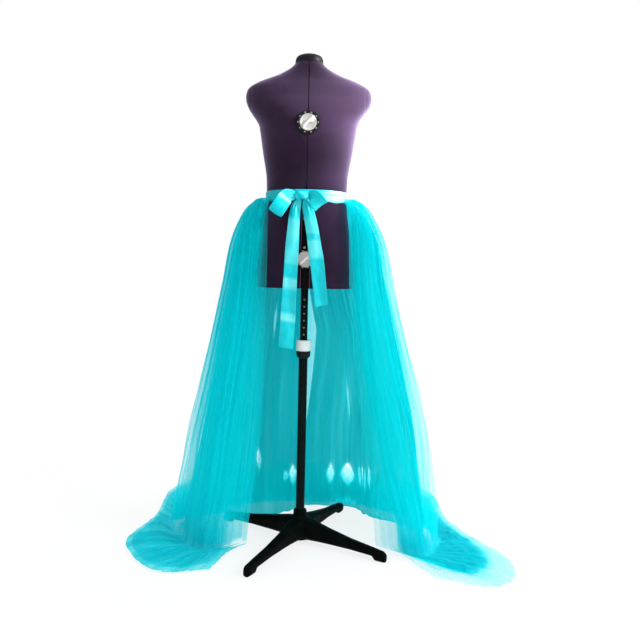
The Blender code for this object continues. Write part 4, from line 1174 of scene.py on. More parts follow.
# ---- the ribbon ----
@dataclass
class RibbonTie(Assembly):
    """The satin ribbon: its band round the waist, and the bow in front."""

    form: FormShape = field(default_factory=FormShape)
    band_low: float = 1.0660
    band_high: float = 1.1000
    band_clearance: float = 0.0009
    band_sag: float = 0.0040
    sag_place: Span = (0.383, 0.034)  # middle and half width, in turns
    # share of a turn from the back, and the painted light on the band there, from painted
    # shade at 0 to painted highlight at 1
    band_painted_light: tuple = ((0.0, 0.50), (0.22, 0.62), (0.29, 0.90), (0.42, 0.92),
                          (0.46, 0.60), (0.54, 0.48), (0.60, 0.34), (0.72, 0.30),
                          (0.80, 0.42), (1.0, 0.50))
    width: float = 0.0450
    thickness: float = 0.0008
    knot_centre: Point = (-0.0140, -0.1135, 1.0790)
    knot_size: Point = (0.043, 0.0285, 0.0255)
    knot_fullness: float = 0.75
    # length, droop at the knot and at the end in degrees, depth, side, swing forward,
    # and where along it the bend starts and ends
    loops: dict = field(default_factory=lambda: {
        "bow_loop_left": (0.093, 1.0, 57.0, 0.030, -1.0, 0.020, 0.08, 0.40),
        "bow_loop_right": (0.058, 1.0, 52.0, 0.034, 1.0, 0.026, 0.02, 0.34),
    })
    # share of the way out on the front strand, and the painted light there, from painted shade
    # at 0 to painted highlight at 1
    loop_painted_light: dict = field(default_factory=lambda: {
        "bow_loop_left": ((0.0, 0.50), (0.16, 0.66), (0.26, 0.54), (0.31, 0.97),
                          (0.38, 0.92), (0.44, 0.55), (0.70, 0.47), (1.0, 0.50)),
        "bow_loop_right": ((0.0, 0.40), (0.25, 0.44), (0.55, 0.50), (0.80, 0.56),
                           (1.0, 0.52)),
    })
    loop_painted_shade: float = 0.36     # painted shade on the strand behind, as one painted light value
    loop_root: float = 0.024     # width at the knot
    loop_widening: float = 4.2   # how soon the loop reaches the ribbon's own width
    loop_root_depth: float = 0.36
    loop_opening: float = 34.0   # degrees that each strand stands from the loop's axis
    # across, depth, height and width, from the knot down
    tails: dict = field(default_factory=lambda: {
        "bow_tail_left": (
            (-0.0210, -0.1085, 1.0677, 0.0150), (-0.0300, -0.1045, 1.0500, 0.0280),
            (-0.0350, -0.1130, 1.0200, 0.0330), (-0.0370, -0.1230, 0.9900, 0.0350),
            (-0.0395, -0.1320, 0.9350, 0.0390), (-0.0415, -0.1365, 0.8850, 0.0400),
            (-0.0440, -0.1350, 0.8200, 0.0410), (-0.0480, -0.1320, 0.7200, 0.0440),
            (-0.0530, -0.1300, 0.6220, 0.0440)),
        "bow_tail_right": (
            (-0.0050, -0.1085, 1.0677, 0.0140), (0.0030, -0.1035, 1.0480, 0.0310),
            (0.0115, -0.1080, 1.0130, 0.0360), (0.0200, -0.1200, 0.9700, 0.0380),
            (0.0270, -0.1350, 0.9250, 0.0405), (0.0340, -0.1380, 0.8850, 0.0415),
            (0.0435, -0.1360, 0.8100, 0.0400), (0.0505, -0.1340, 0.7500, 0.0380)),
    })
    # run down the ribbon, and the painted light there: bands of painted highlight and shade
    tail_painted_light: dict = field(default_factory=lambda: {
        "bow_tail_left": ((0.0, 0.62), (0.020, 0.66), (0.034, 0.48), (0.055, 0.45),
                          (0.070, 0.73), (0.115, 0.74), (0.136, 0.62), (0.155, 0.65),
                          (0.170, 0.74), (0.198, 0.71), (0.206, 0.50), (0.240, 0.50),
                          (0.248, 0.80), (0.272, 0.76), (0.281, 0.54), (0.345, 0.52),
                          (0.352, 0.80), (0.370, 0.84), (0.378, 0.52), (0.450, 0.50)),
        "bow_tail_right": ((0.0, 0.46), (0.050, 0.50), (0.066, 0.70), (0.105, 0.74),
                           (0.114, 0.52), (0.126, 0.52), (0.134, 0.76), (0.180, 0.76),
                           (0.192, 0.50), (0.330, 0.50)),
    })
    # run down the ribbon, half length of the bend, and how far it bows forward
    tail_bends: dict = field(default_factory=lambda: {
        "bow_tail_left": ((0.085, 0.022, -0.0040), (0.165, 0.030, 0.0045),
                          (0.205, 0.020, -0.0045), (0.290, 0.035, 0.0040),
                          (0.375, 0.028, -0.0035)),
        "bow_tail_right": ((0.060, 0.020, -0.0035), (0.145, 0.022, -0.0045),
                           (0.190, 0.026, 0.0040), (0.265, 0.032, -0.0035)),
    })
    tail_slant: dict = field(default_factory=lambda: {
        "bow_tail_left": 0.002, "bow_tail_right": -0.003})
    fold_depth: float = 0.0035   # how far a tail is cupped across its width

    def sheet(self, name: str, stands_for: str, points: np.ndarray, cloth: np.ndarray,
              painted_light: np.ndarray, closed: bool = False) -> bpy.types.Object:
        """Make a grid of ribbon points into one piece of satin with a real thickness.

        Args:
            name: the piece's name.
            stands_for: the CAD node that it replaces.
            points: its places about the pole's axis.
            cloth: the same points on the flat ribbon.
            painted_light: the painted light at each point, from painted shade at 0 to painted
                highlight at 1.
            closed: true to weld its two ends.

        Returns:
            The piece.
        """
        points = points + self.pole
        mesh = sheet_mesh(points, cloth, np.broadcast_to(painted_light, points.shape[:2]),
                          closed=closed, named="painted_light")
        if closed:
            face_from(mesh, points.reshape(-1, 3).mean(axis=0))
        piece = finish_object(name, mesh, self.finishes.satin,
                              stands_for=(stands_for,))
        solid = piece.modifiers.new("satin", "SOLIDIFY")
        solid.thickness = self.thickness
        solid.offset = 0.0
        return piece

    def band(self) -> None:
        """Build the band round the waist, crushed in places where it is pulled tight."""
        turn = np.linspace(0.0, math.tau, 289)
        share = np.linspace(0.0, 1.0, 15)
        plan = self.form.plan(turn, self.form.size_at(self.band_low), self.band_clearance)
        out = unit(plan)
        length = run_along(plan)
        ring = turn[None, :] / math.tau
        # three soft folds run round the band and drift over its width
        fold = sum(np.exp(-((share[:, None] - middle - 0.07 * np.sin(math.tau * (
            ring * pace + middle))) / 0.07) ** 2)
            for middle, pace in ((0.22, 2.0), (0.52, 3.0), (0.78, 2.0)))
        stand = 0.0004 + 0.0012 * fold + 0.0004 * np.sin(math.tau * ring * 23.0)
        height = (self.band_low + (self.band_high - self.band_low) * share)[:, None] + (
            0.0012 * np.sin(math.tau * ring * 2.0 + 0.8) * (share[:, None] - 0.5))
        height = np.clip(height, self.band_low + 0.0004, self.band_high)
        # its lower edge sags at the right of the bow
        middle, half = self.sag_place
        height = height - self.band_sag * np.exp(-((ring - middle) / half) ** 2) * (
            1.0 - share[:, None])
        points = np.empty((len(share), len(turn), 3))
        points[..., :2] = plan[None] + out[None] * stand[..., None]
        points[..., 2] = height
        # painted light round the band, raised on its folds: painted highlight and shade
        painted_light = follow(self.band_painted_light, ring) + 0.10 * (fold - 0.4)
        cloth = cloth_map(length[None, :], share[:, None] * self.width)
        piece = self.sheet("ribbon_waistband", "waistband", points, cloth, painted_light,
                           closed=True)

    def knot_reach(self, angle: float) -> float:
        """Return how far the knot reaches from its centre at an angle below the level."""
        turn = np.linspace(0.0, math.pi / 2, 91)
        across = self.knot_size[0] / 2 * math.cos(angle) * np.cos(turn) ** self.knot_fullness
        down = self.knot_size[2] / 2 * math.sin(angle) * np.sin(turn) ** self.knot_fullness
        return float(np.max(across + down))

    def knot(self) -> None:
        """Build the knot: a soft pillow of wrapped ribbon with wrinkles across it, striped
        with painted highlight and shade.
        """
        shape = bmesh.new()
        bmesh.ops.create_uvsphere(shape, u_segments=72, v_segments=44, radius=0.5)
        for point in shape.verts:
            x, y, z = (math.copysign(abs(2 * value) ** self.knot_fullness, value) / 2
                       for value in point.co)
            # the wrap's folds lean from the upper left and pinch towards the middle
            lean = x * 1.1 + z * 0.30 + 0.05 * math.sin(9.0 * z)
            fold = (0.055 * abs(math.sin(14.0 * lean + 0.6)) ** 0.8
                    + 0.020 * math.sin(31.0 * lean + 4.0 * z))
            pinch = 1.0 - 0.085 + fold * (1.0 - 1.1 * abs(z))
            point.co = [x * self.knot_size[0] * 0.985, y * self.knot_size[1] * pinch,
                        z * self.knot_size[2] * (0.985 - 0.03 * math.cos(8.0 * x))]
        centre = Vector(self.knot_centre) + Vector(self.pole)
        bmesh.ops.translate(shape, vec=centre, verts=shape.verts)
        # painted light: stripes of painted highlight and shade across the knot
        held = shape.verts.layers.float.new("painted_light")
        for point in shape.verts:
            off = point.co - centre
            point[held] = 0.56 + 0.16 * math.sin(190.0 * off.x + 120.0 * off.z)
        layout = shape.loops.layers.uv.new("cloth")
        for face in shape.faces:
            for corner in face.loops:
                corner[layout].uv = (corner.vert.co.x, corner.vert.co.z)
        piece = finish_object("ribbon_knot", to_mesh(shape, 180.0),
                              self.finishes.satin, stands_for=("bow_knot",))

    def loop(self, name: str) -> None:
        """Build one loop of the bow, gathered at the knot and open along its width.

        Args:
            name: the loop's CAD node.
        """
        (length, root_droop, end_droop, depth, side, swing, bend_start,
         bend_end) = self.loops[name]
        turn = np.radians(np.linspace(self.loop_opening, 360.0 - self.loop_opening, 96))
        reach = length * (math.cos(turn[0]) - np.cos(turn)) / 2
        share = reach / length
        way = np.linspace(0.0, 1.0, 81)
        droop = np.radians(root_droop + (end_droop - root_droop) * smooth_step(
            way, bend_start, bend_end))
        start = self.knot_reach(droop[0]) - SEAM_GAP
        step = np.diff(way, prepend=0.0)
        out = start * math.cos(droop[0]) + np.cumsum(np.cos(droop) * step) * length
        down = start * math.sin(droop[0]) + np.cumsum(np.sin(droop) * step) * length
        out_here, down_here, droop_here = (np.interp(share, way, values)
                                           for values in (out, down, droop))
        swell = self.loop_root_depth + (1.0 - self.loop_root_depth) * share
        centres = np.stack((
            self.knot_centre[0] + side * out_here,
            self.knot_centre[1] - swing * share - depth / 2 * np.sin(turn) * swell,
            self.knot_centre[2] - down_here), axis=1)
        cross = np.stack((side * np.sin(droop_here), np.zeros(len(turn)),
                          np.cos(droop_here)), axis=1)
        widths = self.loop_root + (self.width - self.loop_root) * np.clip(
            share * self.loop_widening, 0.0, 1.0)
        along = unit(np.gradient(centres, axis=0))
        face = unit(np.cross(along, cross))
        strip = np.linspace(-0.5, 0.5, 21)
        # gathers fan out from the knot and fade towards the loop's end
        fan = 0.0013 * np.cos(strip[None, :] * 26.0 + side) * (
            1.0 - smooth_step(share, 0.05, 0.45))[:, None]
        roll = -0.0026 * (1.0 - (2.0 * strip[None, :]) ** 2) * smooth_step(
            share, 0.1, 0.7)[:, None]
        points = (centres[:, None, :]
                  + cross[:, None, :] * (widths[:, None] * strip)[..., None]
                  + face[:, None, :] * (fan + roll)[..., None])
        run = run_along(centres)
        cloth = cloth_map(run[:, None], strip[None, :] * self.width)
        # painted light: painted highlight and shade along the front strand, a flat painted
        # shade on the strand behind
        front = np.sin(turn) > 0.0
        painted_light = np.where(front, follow(self.loop_painted_light[name], share), self.loop_painted_shade)
        piece = self.sheet(name.replace("bow", "ribbon"), name, points, cloth,
                           painted_light[:, None])

    def tail(self, name: str) -> None:
        """Build one hanging end, bent softly where it falls over the form.

        Args:
            name: the end's CAD node.
        """
        rows = np.array(self.tails[name])
        places = np.linspace(0, len(rows) - 1, 150)
        line = curve_through(np.arange(len(rows)), rows, places)
        centres = line[:, :3]
        along = unit(np.gradient(centres, axis=0))
        across = unit(np.cross(along, np.array((0.0, -1.0, 0.0))))
        face = unit(np.cross(along, across))
        face = face * np.where(face[:, 1:2] > 0, -1.0, 1.0)
        run = run_along(centres)
        bow = np.zeros_like(run)
        for middle, half, height in self.tail_bends[name]:
            bow = bow + height * np.exp(-((run - middle) / half) ** 2)
        strip = np.linspace(-0.5, 0.5, 17)
        cup = self.fold_depth * np.sin(strip[None, :] * 5.0 + 1.6 * np.sin(
            run[:, None] * 17.0)) * smooth_step(run, 0.0, 0.05)[:, None]
        pinch = 0.0014 * np.cos(strip[None, :] * 20.0) * (
            1.0 - smooth_step(run, 0.01, 0.06))[:, None]
        points = (centres[:, None, :]
                  + across[:, None, :] * (line[:, 3:4] * strip)[..., None]
                  + face[:, None, :] * (cup + pinch + bow[:, None] * 0.8)[..., None])
        points[..., 2] += (self.tail_slant[name] * strip[None, :] * 2.0
                           * smooth_step(run, run[-1] - 0.04, run[-1])[:, None])
        cloth = cloth_map(run[:, None], strip[None, :] * self.width)
        # the bands of painted highlight and shade cross the ribbon at a slight slant
        painted_light = follow(self.tail_painted_light[name], run[:, None] + 0.006 * strip[None, :])
        piece = self.sheet(name.replace("bow", "ribbon"), name, points, cloth, painted_light)

    def build(self) -> None:
        """Build the band, the knot, the loops and the hanging ends."""
        self.band()
        self.knot()
        for name in self.loops:
            self.loop(name)
        for name in self.tails:
            self.tail(name)


# ---- the dress form ----
@dataclass
class DressForm(Assembly):
    """The limbless form: its knitted cover, the cap on its neck and its two dials."""

    form: FormShape = field(default_factory=FormShape)
    rows: int = 190
    arc_points: int = 150
    cap_foot: float = 1.5075
    # outline of the cap, upwards: radius and height above its foot
    cap: tuple = ((0.0445, 0.0), (0.0440, 0.0140), (0.0400, 0.0230), (0.0280, 0.0285),
                  (0.0, 0.0296))
    # height, bezel radius, disc radius, back and front
    dials: dict = field(default_factory=lambda: {
        "chest": (1.2980, 0.0355, 0.0255, 0.1003, 0.1215),
        "hip": (0.8880, 0.0290, 0.0238, 0.0950, 0.1165),
    })
    recess: float = 0.0090       # of a dial's seat in its bezel
    proud: float = 0.0020        # of a dial's face in front of its bezel
    dial_play: float = 0.0005
    step: float = 0.0010         # from a dial's rim down to its face
    grip_height: float = 0.0070
    grip_sunk: float = 0.0030
    grip_turn: float = 45.0
    # along the arrow in shares of the disc's radius, and its half width; it has one barb
    grip: tuple = ((-0.82, 0.0030), (0.15, 0.0040), (0.42, 0.0105), (0.97, 0.0012))
    barb: int = 2                # the arrow's point that only its lower side has
    ticks: int = 10
    tick: Point = (0.0016, 0.0004, 0.0046)
    seam_half: float = 0.0016    # half width and depth of a shoulder stump's seam
    seam_foot: Span = (1.335, 1.355)
    hollow_centre: Point = (0.0, 0.0, 1.36)
    # shares that the cover's ends close by
    foot_shares: tuple = (0.985, 0.93, 0.60, 0.085)
    neck_shares: tuple = (0.97, 0.60, 0.0)
    girth: float = 0.9           # of cloth round the form, for the knit
    gap_seen: float = 0.006      # the gap is a mere line where it is narrower
    # name, across, front, height and radius
    fittings: tuple = (("guide_stud", -0.0060, -0.0905, 1.0120, 0.0032),
                       ("guide_ring", -0.0030, -0.1060, 0.9230, 0.0042))
    armhole: float = 0.1800      # how far out the seams of the shoulder stumps lie

    def ring(self, row: np.ndarray) -> np.ndarray:
        """Return one section's points, from the gap's right side round to its left.

        Args:
            row: height, half width, depths, and the gap's width and depth.

        Returns:
            The points, the first one repeated at the end.
        """
        height, half_width, front, back, gap_width, gap_depth = row
        half_gap = gap_width / 2
        power = self.form.squareness / 2.0
        first = math.asin(min((half_gap / half_width) ** power, 1.0))
        angles = np.linspace(math.pi - first, first - math.pi, self.arc_points)
        arc = self.form.plan(angles, np.array((half_width, front, back)))
        lip = arc[0, 1]
        inner = np.array(((half_gap * 0.92, lip + gap_depth), (half_gap * 0.98, lip + 0.0012)))
        left = inner[::-1] * np.array((-1.0, 1.0))
        plan = np.concatenate((inner, arc, left, inner[:1]))
        return np.column_stack((plan, np.full(len(plan), height)))

    def cover(self) -> None:
        """Build the knitted cover as one closed shell with its front opening."""
        table = np.array(self.form.sections[::-1])
        heights = np.linspace(table[0, 0], table[-1, 0], self.rows)
        smooth = curve_through(table[:, 0], table[:, 1:4], heights)
        gaps = self.form.gap_at(heights)
        rings = [self.ring(np.array((height, *size, *gap)))
                 for height, size, gap in zip(heights, smooth, gaps)]
        low, high = rings[0], rings[-1]
        # the lower end turns in to the pole and the neck closes under the cap
        ends = []
        for ring, shares, closing in ((low, self.foot_shares, -1),
                                      (high, self.neck_shares, 1)):
            for depth, share in enumerate(shares):
                turned = ring.copy()
                turned[:, :2] *= share
                turned[:, 2] += closing * SEAM_GAP * (depth > 0)
                ends.append((closing, turned))
        points = np.array([*[ring for side, ring in ends if side < 0][::-1], *rings,
                           *[ring for side, ring in ends if side > 0]])
        # the shoulder stumps' seams are drawn in a little
        x, z = points[..., 0], points[..., 2]
        seam = np.exp(-((np.abs(x) - self.armhole) / self.seam_half) ** 2) * smooth_step(
            z, *self.seam_foot)
        inward = unit(points - np.array(self.hollow_centre))
        points = points - inward * (self.seam_half * seam)[..., None]
        around = np.linspace(0.0, self.girth, points.shape[1])
        mesh = sheet_mesh(points + self.pole, cloth_map(around[None, :], points[:, :1, 2]),
                          closed=True)
        shape = bmesh.new()
        shape.from_mesh(mesh)
        bmesh.ops.holes_fill(shape, edges=[e for e in shape.edges if e.is_boundary])
        bmesh.ops.recalc_face_normals(shape, faces=shape.faces)
        shape.to_mesh(mesh)
        shape.free()
        mesh.shade_smooth()
        mesh.set_sharp_from_angle(angle=math.radians(48))
        finish_object("form_cover", mesh, self.finishes.jersey,
                      stands_for=("torso",))
        self.gap_core(smooth, gaps, heights)

    def gap_core(self, sizes: np.ndarray, gaps: np.ndarray, heights: np.ndarray) -> None:
        """Build the black strip that shows in the gap at the lower front.

        Args:
            sizes: each section's half width and depths.
            gaps: each section's gap width and depth.
            heights: the sections' heights.
        """
        kept = gaps[:, 0] > self.gap_seen
        count = int(kept.sum())
        shares = np.linspace(-0.455, 0.455, 5)
        shape = bmesh.new()
        bmesh.ops.create_grid(shape, x_segments=len(shares) - 1, y_segments=count - 1,
                              size=1.0)
        rows = np.array(shape.verts[:], dtype=object).reshape(count, len(shares))
        for points, size, gap, height in zip(rows, sizes[kept], gaps[kept], heights[kept]):
            depth = -size[1] + gap[1] - 0.0012
            for share, point in zip(shares, points):
                rib = 0.0016 * (1.0 - abs(share) * 2.0)
                point.co = (self.pole[0] + share * gap[0], self.pole[1] + depth - rib,
                            height)
        bmesh.ops.recalc_face_normals(shape, faces=shape.faces)
        mesh = to_mesh(shape, 180.0)
        face_from(mesh, self.pole + HEART)
        finish_object("gap_core", mesh, self.finishes.gap_plastic)

    def rivets(self) -> None:
        """Build the guide ring and the small metal stud that show in the gap."""
        for name, across, depth, height, radius in self.fittings:
            outline = ((0.0, 0.0), (radius, 0.0), (radius, 0.0018), (radius * 0.55, 0.0026),
                       (0.0, 0.0026))
            shape = spun(outline, 32, Vector((across, depth, height)) + Vector(self.pole),
                         forward=True, bevel=0.0003)
            finish_object(name, to_mesh(shape), self.finishes.steel)

    def neck_cap(self) -> None:
        """Build the moulded cap on the neck."""
        place = Vector(self.pole) + Vector((0.0, 0.0, self.cap_foot))
        shape = spun(((0.0, 0.0), *self.cap), 72, place, bevel=0.0016)
        finish_object("neck_plate", to_mesh(shape, 30.0), self.finishes.black_plastic,
                      stands_for=("neck_cap",))

    def bezel(self, name: str) -> None:
        """Build a dial's round black surround with pale ticks on its rim.

        Args:
            name: which dial it is.
        """
        height, bezel, disc, back, front = self.dials[name]
        seat = front - self.recess
        place = Vector(self.pole) + Vector((0.0, 0.0, height))
        bore = disc + self.dial_play
        cup = ((0.0, back), (bezel, back), (bezel, front), (bore, front), (bore, seat),
               (0.0, seat))
        shape = spun(cup, 96, place, forward=True, bevel=0.0009)
        finish_object(f"{name}_surround", to_mesh(shape, 30.0),
                      self.finishes.black_plastic,
                      stands_for=(f"{name}_bezel",))
        marks = bmesh.new()
        middle = (bezel + disc) / 2
        for index in range(self.ticks):
            angle = math.tau * index / self.ticks
            turn = Matrix.Rotation(angle, 4, "Y") @ Matrix.Translation(
                (middle, -front - self.tick[1] / 2, 0.0)) @ Matrix.Diagonal((*self.tick, 1.0))
            bmesh.ops.create_cube(marks, size=1.0, matrix=Matrix.Translation(place) @ turn)
        finish_object(f"{name}_ticks", to_mesh(marks), self.finishes.tick_white)

    def dial(self, name: str, body: Body) -> None:
        """Build a silver dial with its diagonal arrow grip.

        Args:
            name: which dial it is.
            body: the body that it turns with.
        """
        height, _, disc, _, front = self.dials[name]
        place = Vector(self.pole) + Vector((0.0, 0.0, height))
        under = front - self.recess + SEAM_GAP
        over = front + self.proud
        plate = ((0.0, under), (disc, under), (disc, over), (disc * 0.86, over),
                 (disc * 0.84, over - self.step), (0.0, over - self.step))
        shape = spun(plate, 96, place, forward=True, bevel=0.0003)
        lower = [(disc * share, -half) for share, half in self.grip]
        upper = [(disc * share, half) for index, (share, half) in enumerate(self.grip)
                 if index != self.barb]
        turn = Matrix.Rotation(math.radians(self.grip_turn), 4, "Z")
        grip = bmesh.new()
        base = [grip.verts.new((x, y, over - self.grip_sunk))
                for x, y in lower + upper[::-1]]
        grip.faces.new(base)
        raised = bmesh.ops.extrude_face_region(grip, geom=grip.faces[:])
        lifted = [part for part in raised["geom"] if isinstance(part, bmesh.types.BMVert)]
        bmesh.ops.translate(grip, vec=(0, 0, self.grip_height + self.grip_sunk),
                            verts=lifted)
        top = [edge for edge in grip.edges if all(vert in lifted for vert in edge.verts)]
        bmesh.ops.bevel(grip, geom=top, offset=0.0010, segments=2, profile=0.5,
                        affect="EDGES", material=-1)
        bmesh.ops.transform(grip, matrix=Matrix.Translation(place) @ FORWARD @ turn,
                            verts=grip.verts)
        bmesh.ops.recalc_face_normals(grip, faces=grip.faces)
        arrow = to_mesh(grip, 30.0)
        plates = len(shape.faces)
        shape.from_mesh(arrow)
        bpy.data.meshes.remove(arrow)
        piece = finish_object(f"{name}_knob", to_mesh(shape, 30.0), self.finishes.silver,
                              body=body, stands_for=(f"{name}_dial",))
        piece.data.materials.append(self.finishes.bright_silver)
        for face in piece.data.polygons[plates:]:
            face.material_index = 1

    def build(self) -> None:
        """Build the cover, the cap, the gap's fittings and the dials."""
        self.cover()
        self.rivets()
        self.neck_cap()
        for name, body in (("chest", Body.CHEST_ADJUSTER), ("hip", Body.HIP_ADJUSTER)):
            self.bezel(name)
            self.dial(name, body)


# ---- the stand ----
@dataclass
class PoleStand(Assembly):
    """The telescopic pole, its clamp and the cast base."""

    lower_radius: float = 0.0138
    upper_radius: float = 0.0118
    wall: float = 0.0017
    lower_foot: float = 0.0403
    lower_top: float = 0.5985
    upper_foot: float = 0.470
    socket_top: float = 0.8597
    hole_radius: float = 0.0023
    hole_depth: float = 0.012
    rim_rise: float = 0.0012
    rim_sunk: float = 0.0010
    rim_share: float = 0.62      # of the hole's radius that its rim leaves open
    hole_first: float = 0.652
    hole_pitch: float = 0.022
    holes: int = 6
    ring_radius: float = 0.0238
    ring_low: float = 0.600
    ring_high: float = 0.6345
    collar_low: float = 0.577
    collar: tuple = ((0.0168, 0.0), (0.0218, 0.0070), (0.0228, 0.0197), (0.0218, 0.0227))
    cast_voxel: float = 0.0022

    def tube(self, radius: float, low: float, high: float) -> bmesh.types.BMesh:
        """Return a plain tube with softened ends."""
        outline = ((radius, low), (radius, high), (radius - self.wall, high),
                   (radius - self.wall, low))
        return spun(outline, 64, Vector(self.pole), bevel=0.0004)

    def upper(self) -> None:
        """Build the inner tube and cut its row of height holes."""
        shape = self.tube(self.upper_radius, self.upper_foot, self.socket_top)
        piece = finish_object("inner_tube", to_mesh(shape), self.finishes.enamel,
                              stands_for=("pole_upper",))
        heights = [self.hole_first + self.hole_pitch * index for index in range(self.holes)]
        x, y = self.pole[0], self.pole[1] - self.upper_radius
        drills = bmesh.new()
        for height in heights:
            place = Matrix.Translation((x, y, height))
            bmesh.ops.create_cone(drills, cap_ends=True, segments=24,
                                  radius1=self.hole_radius, radius2=self.hole_radius,
                                  depth=self.hole_depth, matrix=place @ FORWARD)
        tool = bpy.data.objects.new("drills", to_mesh(drills))
        bpy.context.scene.collection.objects.link(tool)
        cut = piece.modifiers.new("holes", "BOOLEAN")
        cut.operation, cut.object, cut.solver = "DIFFERENCE", tool, "EXACT"
        settle(piece)
        bpy.data.objects.remove(tool)
        rims = bmesh.new()
        outer, inner = self.hole_radius, self.hole_radius * self.rim_share
        outline = ((outer, 0.0), (outer, self.rim_rise), (inner, self.rim_rise), (inner, 0.0))
        for height in heights:
            part = to_mesh(spun(outline, 24, Vector((x, y + self.rim_sunk, height)),
                                forward=True))
            rims.from_mesh(part)
            bpy.data.meshes.remove(part)
        finish_object("hole_rims", to_mesh(rims), self.finishes.steel)

    def clamp(self) -> None:
        """Build the white ring and the black collar under it."""
        bore = self.upper_radius + SEAM_GAP
        ring = ((bore, self.ring_low), (self.ring_radius, self.ring_low),
                (self.ring_radius, self.ring_high), (bore, self.ring_high))
        shape = spun(ring, 72, Vector(self.pole), bevel=0.0028)
        finish_object("stop_ring", to_mesh(shape, 30.0), self.finishes.white_plastic,
                      stands_for=("clamp_ring",))
        bore = self.lower_radius + SEAM_GAP
        rise = [(radius, self.collar_low + height) for radius, height in self.collar]
        outline = ((bore, rise[0][1]), *rise, (bore, rise[-1][1]))
        shape = spun(outline, 72, Vector(self.pole), bevel=0.0010)
        finish_object("screw_collar", to_mesh(shape, 30.0), self.finishes.black_plastic,
                      stands_for=("clamp_collar",))

    def casting(self) -> None:
        """Build the cast base: the CAD's hub and legs with cast fillets between them."""
        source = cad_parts["base"]
        shape = bmesh.new()
        shape.from_mesh(source.data)
        bmesh.ops.remove_doubles(shape, verts=shape.verts, dist=1e-5)
        mesh = bpy.data.meshes.new("base_casting")
        shape.to_mesh(mesh)
        shape.free()
        piece = finish_object("base_casting", mesh, self.finishes.cast,
                              stands_for=("base",))
        skin = piece.modifiers.new("skin", "REMESH")
        skin.mode, skin.voxel_size, skin.use_smooth_shade = "VOXEL", self.cast_voxel, True
        soft = piece.modifiers.new("fillets", "SMOOTH")
        soft.factor, soft.iterations = 0.5, 12
        settle(piece)
        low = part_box("base")[0].z
        for point in piece.data.vertices:
            point.co.z = max(point.co.z, low + 0.0002)

    def build(self) -> None:
        """Build the tubes, the clamp and the base."""
        self.upper()
        shape = self.tube(self.lower_radius, self.lower_foot, self.lower_top)
        finish_object("outer_tube", to_mesh(shape), self.finishes.enamel,
                      stands_for=("pole_lower",))
        self.clamp()
        self.casting()


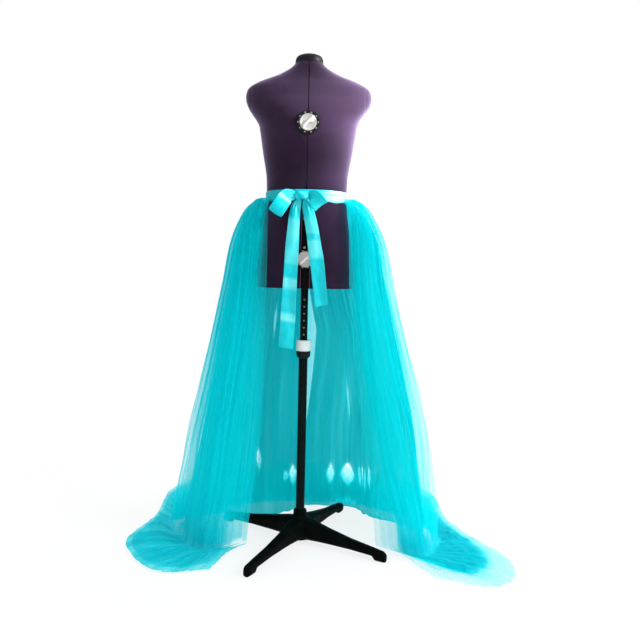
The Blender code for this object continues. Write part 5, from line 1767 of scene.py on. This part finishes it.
# ---- the studio ----
@dataclass
class Studio:
    """Camera, floor and light."""

    camera_back: float = 2.0
    camera_height: float = 0.85
    lens: float = 35.4
    shift: Span = (0.0234, -0.075)  # shares of the frame's side
    roll: float = 1.2            # degrees
    world_light: float = 0.62
    # name, place, aim, size, power, colour
    lamps: tuple = (
        ("key", (2.5, -1.8, 2.1), (0.1, 0.0, 0.70), 1.6, 66.0, (1.0, 0.99, 0.975)),
        ("side", (2.7, 0.3, 1.3), (0.1, 0.0, 0.75), 1.4, 46.0, (0.98, 0.99, 1.0)),
        ("fill", (-2.6, -2.2, 1.4), (-0.1, 0.0, 0.6), 2.4, 14.0, (0.95, 0.98, 1.0)),
        ("top", (0.0, 0.2, 3.4), (0.0, 0.0, 0.5), 2.6, 24.0, (1.0, 1.0, 1.0)),
        ("back", (0.9, 2.6, 0.9), (0.0, 0.1, 0.45), 2.2, 44.0, (1.0, 1.0, 0.95)),
    )
    # a narrow beam on the form's right shoulder and flank: place, aim, cone, blend, power
    beam: tuple = ((1.45, -0.52, 2.10), (0.21, -0.25, 1.39), 15.0, 0.9, 1150.0)
    beam_softness: float = 0.16
    floor_drop: float = 0.0006
    fade: Span = (0.55, 1.7)     # radii where the floor fades to white
    least_fade: float = 0.80

    def camera(self, pole: np.ndarray) -> None:
        """Place the camera in front of the pole."""
        data = bpy.data.cameras.new("view")
        data.lens, data.sensor_width = self.lens, 36.0
        data.clip_start, data.clip_end = 0.05, 60.0
        camera = bpy.data.objects.new("view", data)
        camera.location = (pole[0], pole[1] - self.camera_back, self.camera_height)
        data.shift_x, data.shift_y = self.shift
        aim = (Matrix.Rotation(math.radians(90.0), 3, "X")
               @ Matrix.Rotation(math.radians(self.roll), 3, "Z"))
        camera.rotation_euler = aim.to_euler()
        bpy.context.scene.collection.objects.link(camera)
        bpy.context.scene.camera = camera

    def floor(self) -> None:
        """Lay a plain pale floor that fades into the white round it."""
        shape = bmesh.new()
        bmesh.ops.create_circle(shape, cap_ends=True, segments=96, radius=14.0)
        bmesh.ops.translate(shape, vec=(0, 0, -self.floor_drop), verts=shape.verts)
        floor = bpy.data.objects.new("floor", to_mesh(shape))
        wiring = Wiring("floor_white")
        place = wiring.add("SeparateXYZ", {"Vector": wiring.place((1.0, 1.0, 1.0))})
        far = wiring.maths("SQRT", wiring.maths(
            "ADD", wiring.maths("POWER", place.outputs["X"], 2.0),
            wiring.maths("POWER", place.outputs["Y"], 2.0)))
        matt = wiring.add("BsdfDiffuse", {"Color": (0.93, 0.93, 0.93, 1.0)})
        bright = wiring.add("Emission", {"Color": WHITE, "Strength": 1.0})
        mixed = wiring.add("MixShader", {
            0: wiring.span(far, *self.fade, self.least_fade, 1.0), 1: matt.outputs[0],
            2: bright.outputs[0]})
        floor.data.materials.append(wiring.close(mixed.outputs[0]))
        bpy.context.scene.collection.objects.link(floor)

    def lamp(self, name: str, kind: str, place: tuple, aim: tuple,
             power: float) -> bpy.types.Light:
        """Hang one lamp.

        Args:
            name: the lamp's name.
            kind: AREA or SPOT.
            place: where it hangs.
            aim: the point that it looks at.
            power: its power in watts.

        Returns:
            The lamp's data, to be set further.
        """
        data = bpy.data.lights.new(name, kind)
        data.energy = power
        lamp = bpy.data.objects.new(name, data)
        lamp.location = place
        lamp.rotation_euler = (Vector(aim) - Vector(place)).to_track_quat(
            "-Z", "Y").to_euler()
        bpy.context.scene.collection.objects.link(lamp)
        return data

    def light(self) -> None:
        """Hang the soft lamps and the beam."""
        for name, place, aim, size, power, colour in self.lamps:
            data = self.lamp(name, "AREA", place, aim, power)
            data.shape, data.size, data.color = "DISK", size, colour
        place, aim, cone, blend, power = self.beam
        data = self.lamp("beam", "SPOT", place, aim, power)
        data.spot_size, data.spot_blend = math.radians(cone), blend
        data.shadow_soft_size = self.beam_softness

    def room(self) -> None:
        """Fill the room with a white that lights less than it shows."""
        world = bpy.data.worlds.new("white_room")
        world.use_nodes = True
        bpy.context.scene.world = world
        tree = world.node_tree
        tree.nodes.clear()
        mix = tree.nodes.new("ShaderNodeMixShader")
        path = tree.nodes.new("ShaderNodeLightPath")
        tree.links.new(path.outputs["Is Camera Ray"], mix.inputs[0])
        for socket, strength in ((1, self.world_light), (2, 1.0)):
            white = tree.nodes.new("ShaderNodeBackground")
            white.inputs["Color"].default_value = WHITE
            white.inputs["Strength"].default_value = strength
            tree.links.new(white.outputs[0], mix.inputs[socket])
        out = tree.nodes.new("ShaderNodeOutputWorld")
        tree.links.new(mix.outputs[0], out.inputs[0])

    def build(self, pole: np.ndarray) -> None:
        """Set up the camera, the floor, the light and plain colours."""
        self.camera(pole)
        self.floor()
        self.light()
        self.room()
        bpy.context.scene.view_settings.view_transform = "Standard"


def main() -> None:
    """Build the studio and every piece of the object."""
    logging.basicConfig(level=logging.INFO, format="%(message)s")
    pole = pole_axis()
    finishes = Finishes()
    Studio().build(pole)
    for assembly in (DressForm, PoleStand, RibbonTie, Overskirt):
        assembly(pole, finishes).build()


if __name__ == "__main__":
    main()
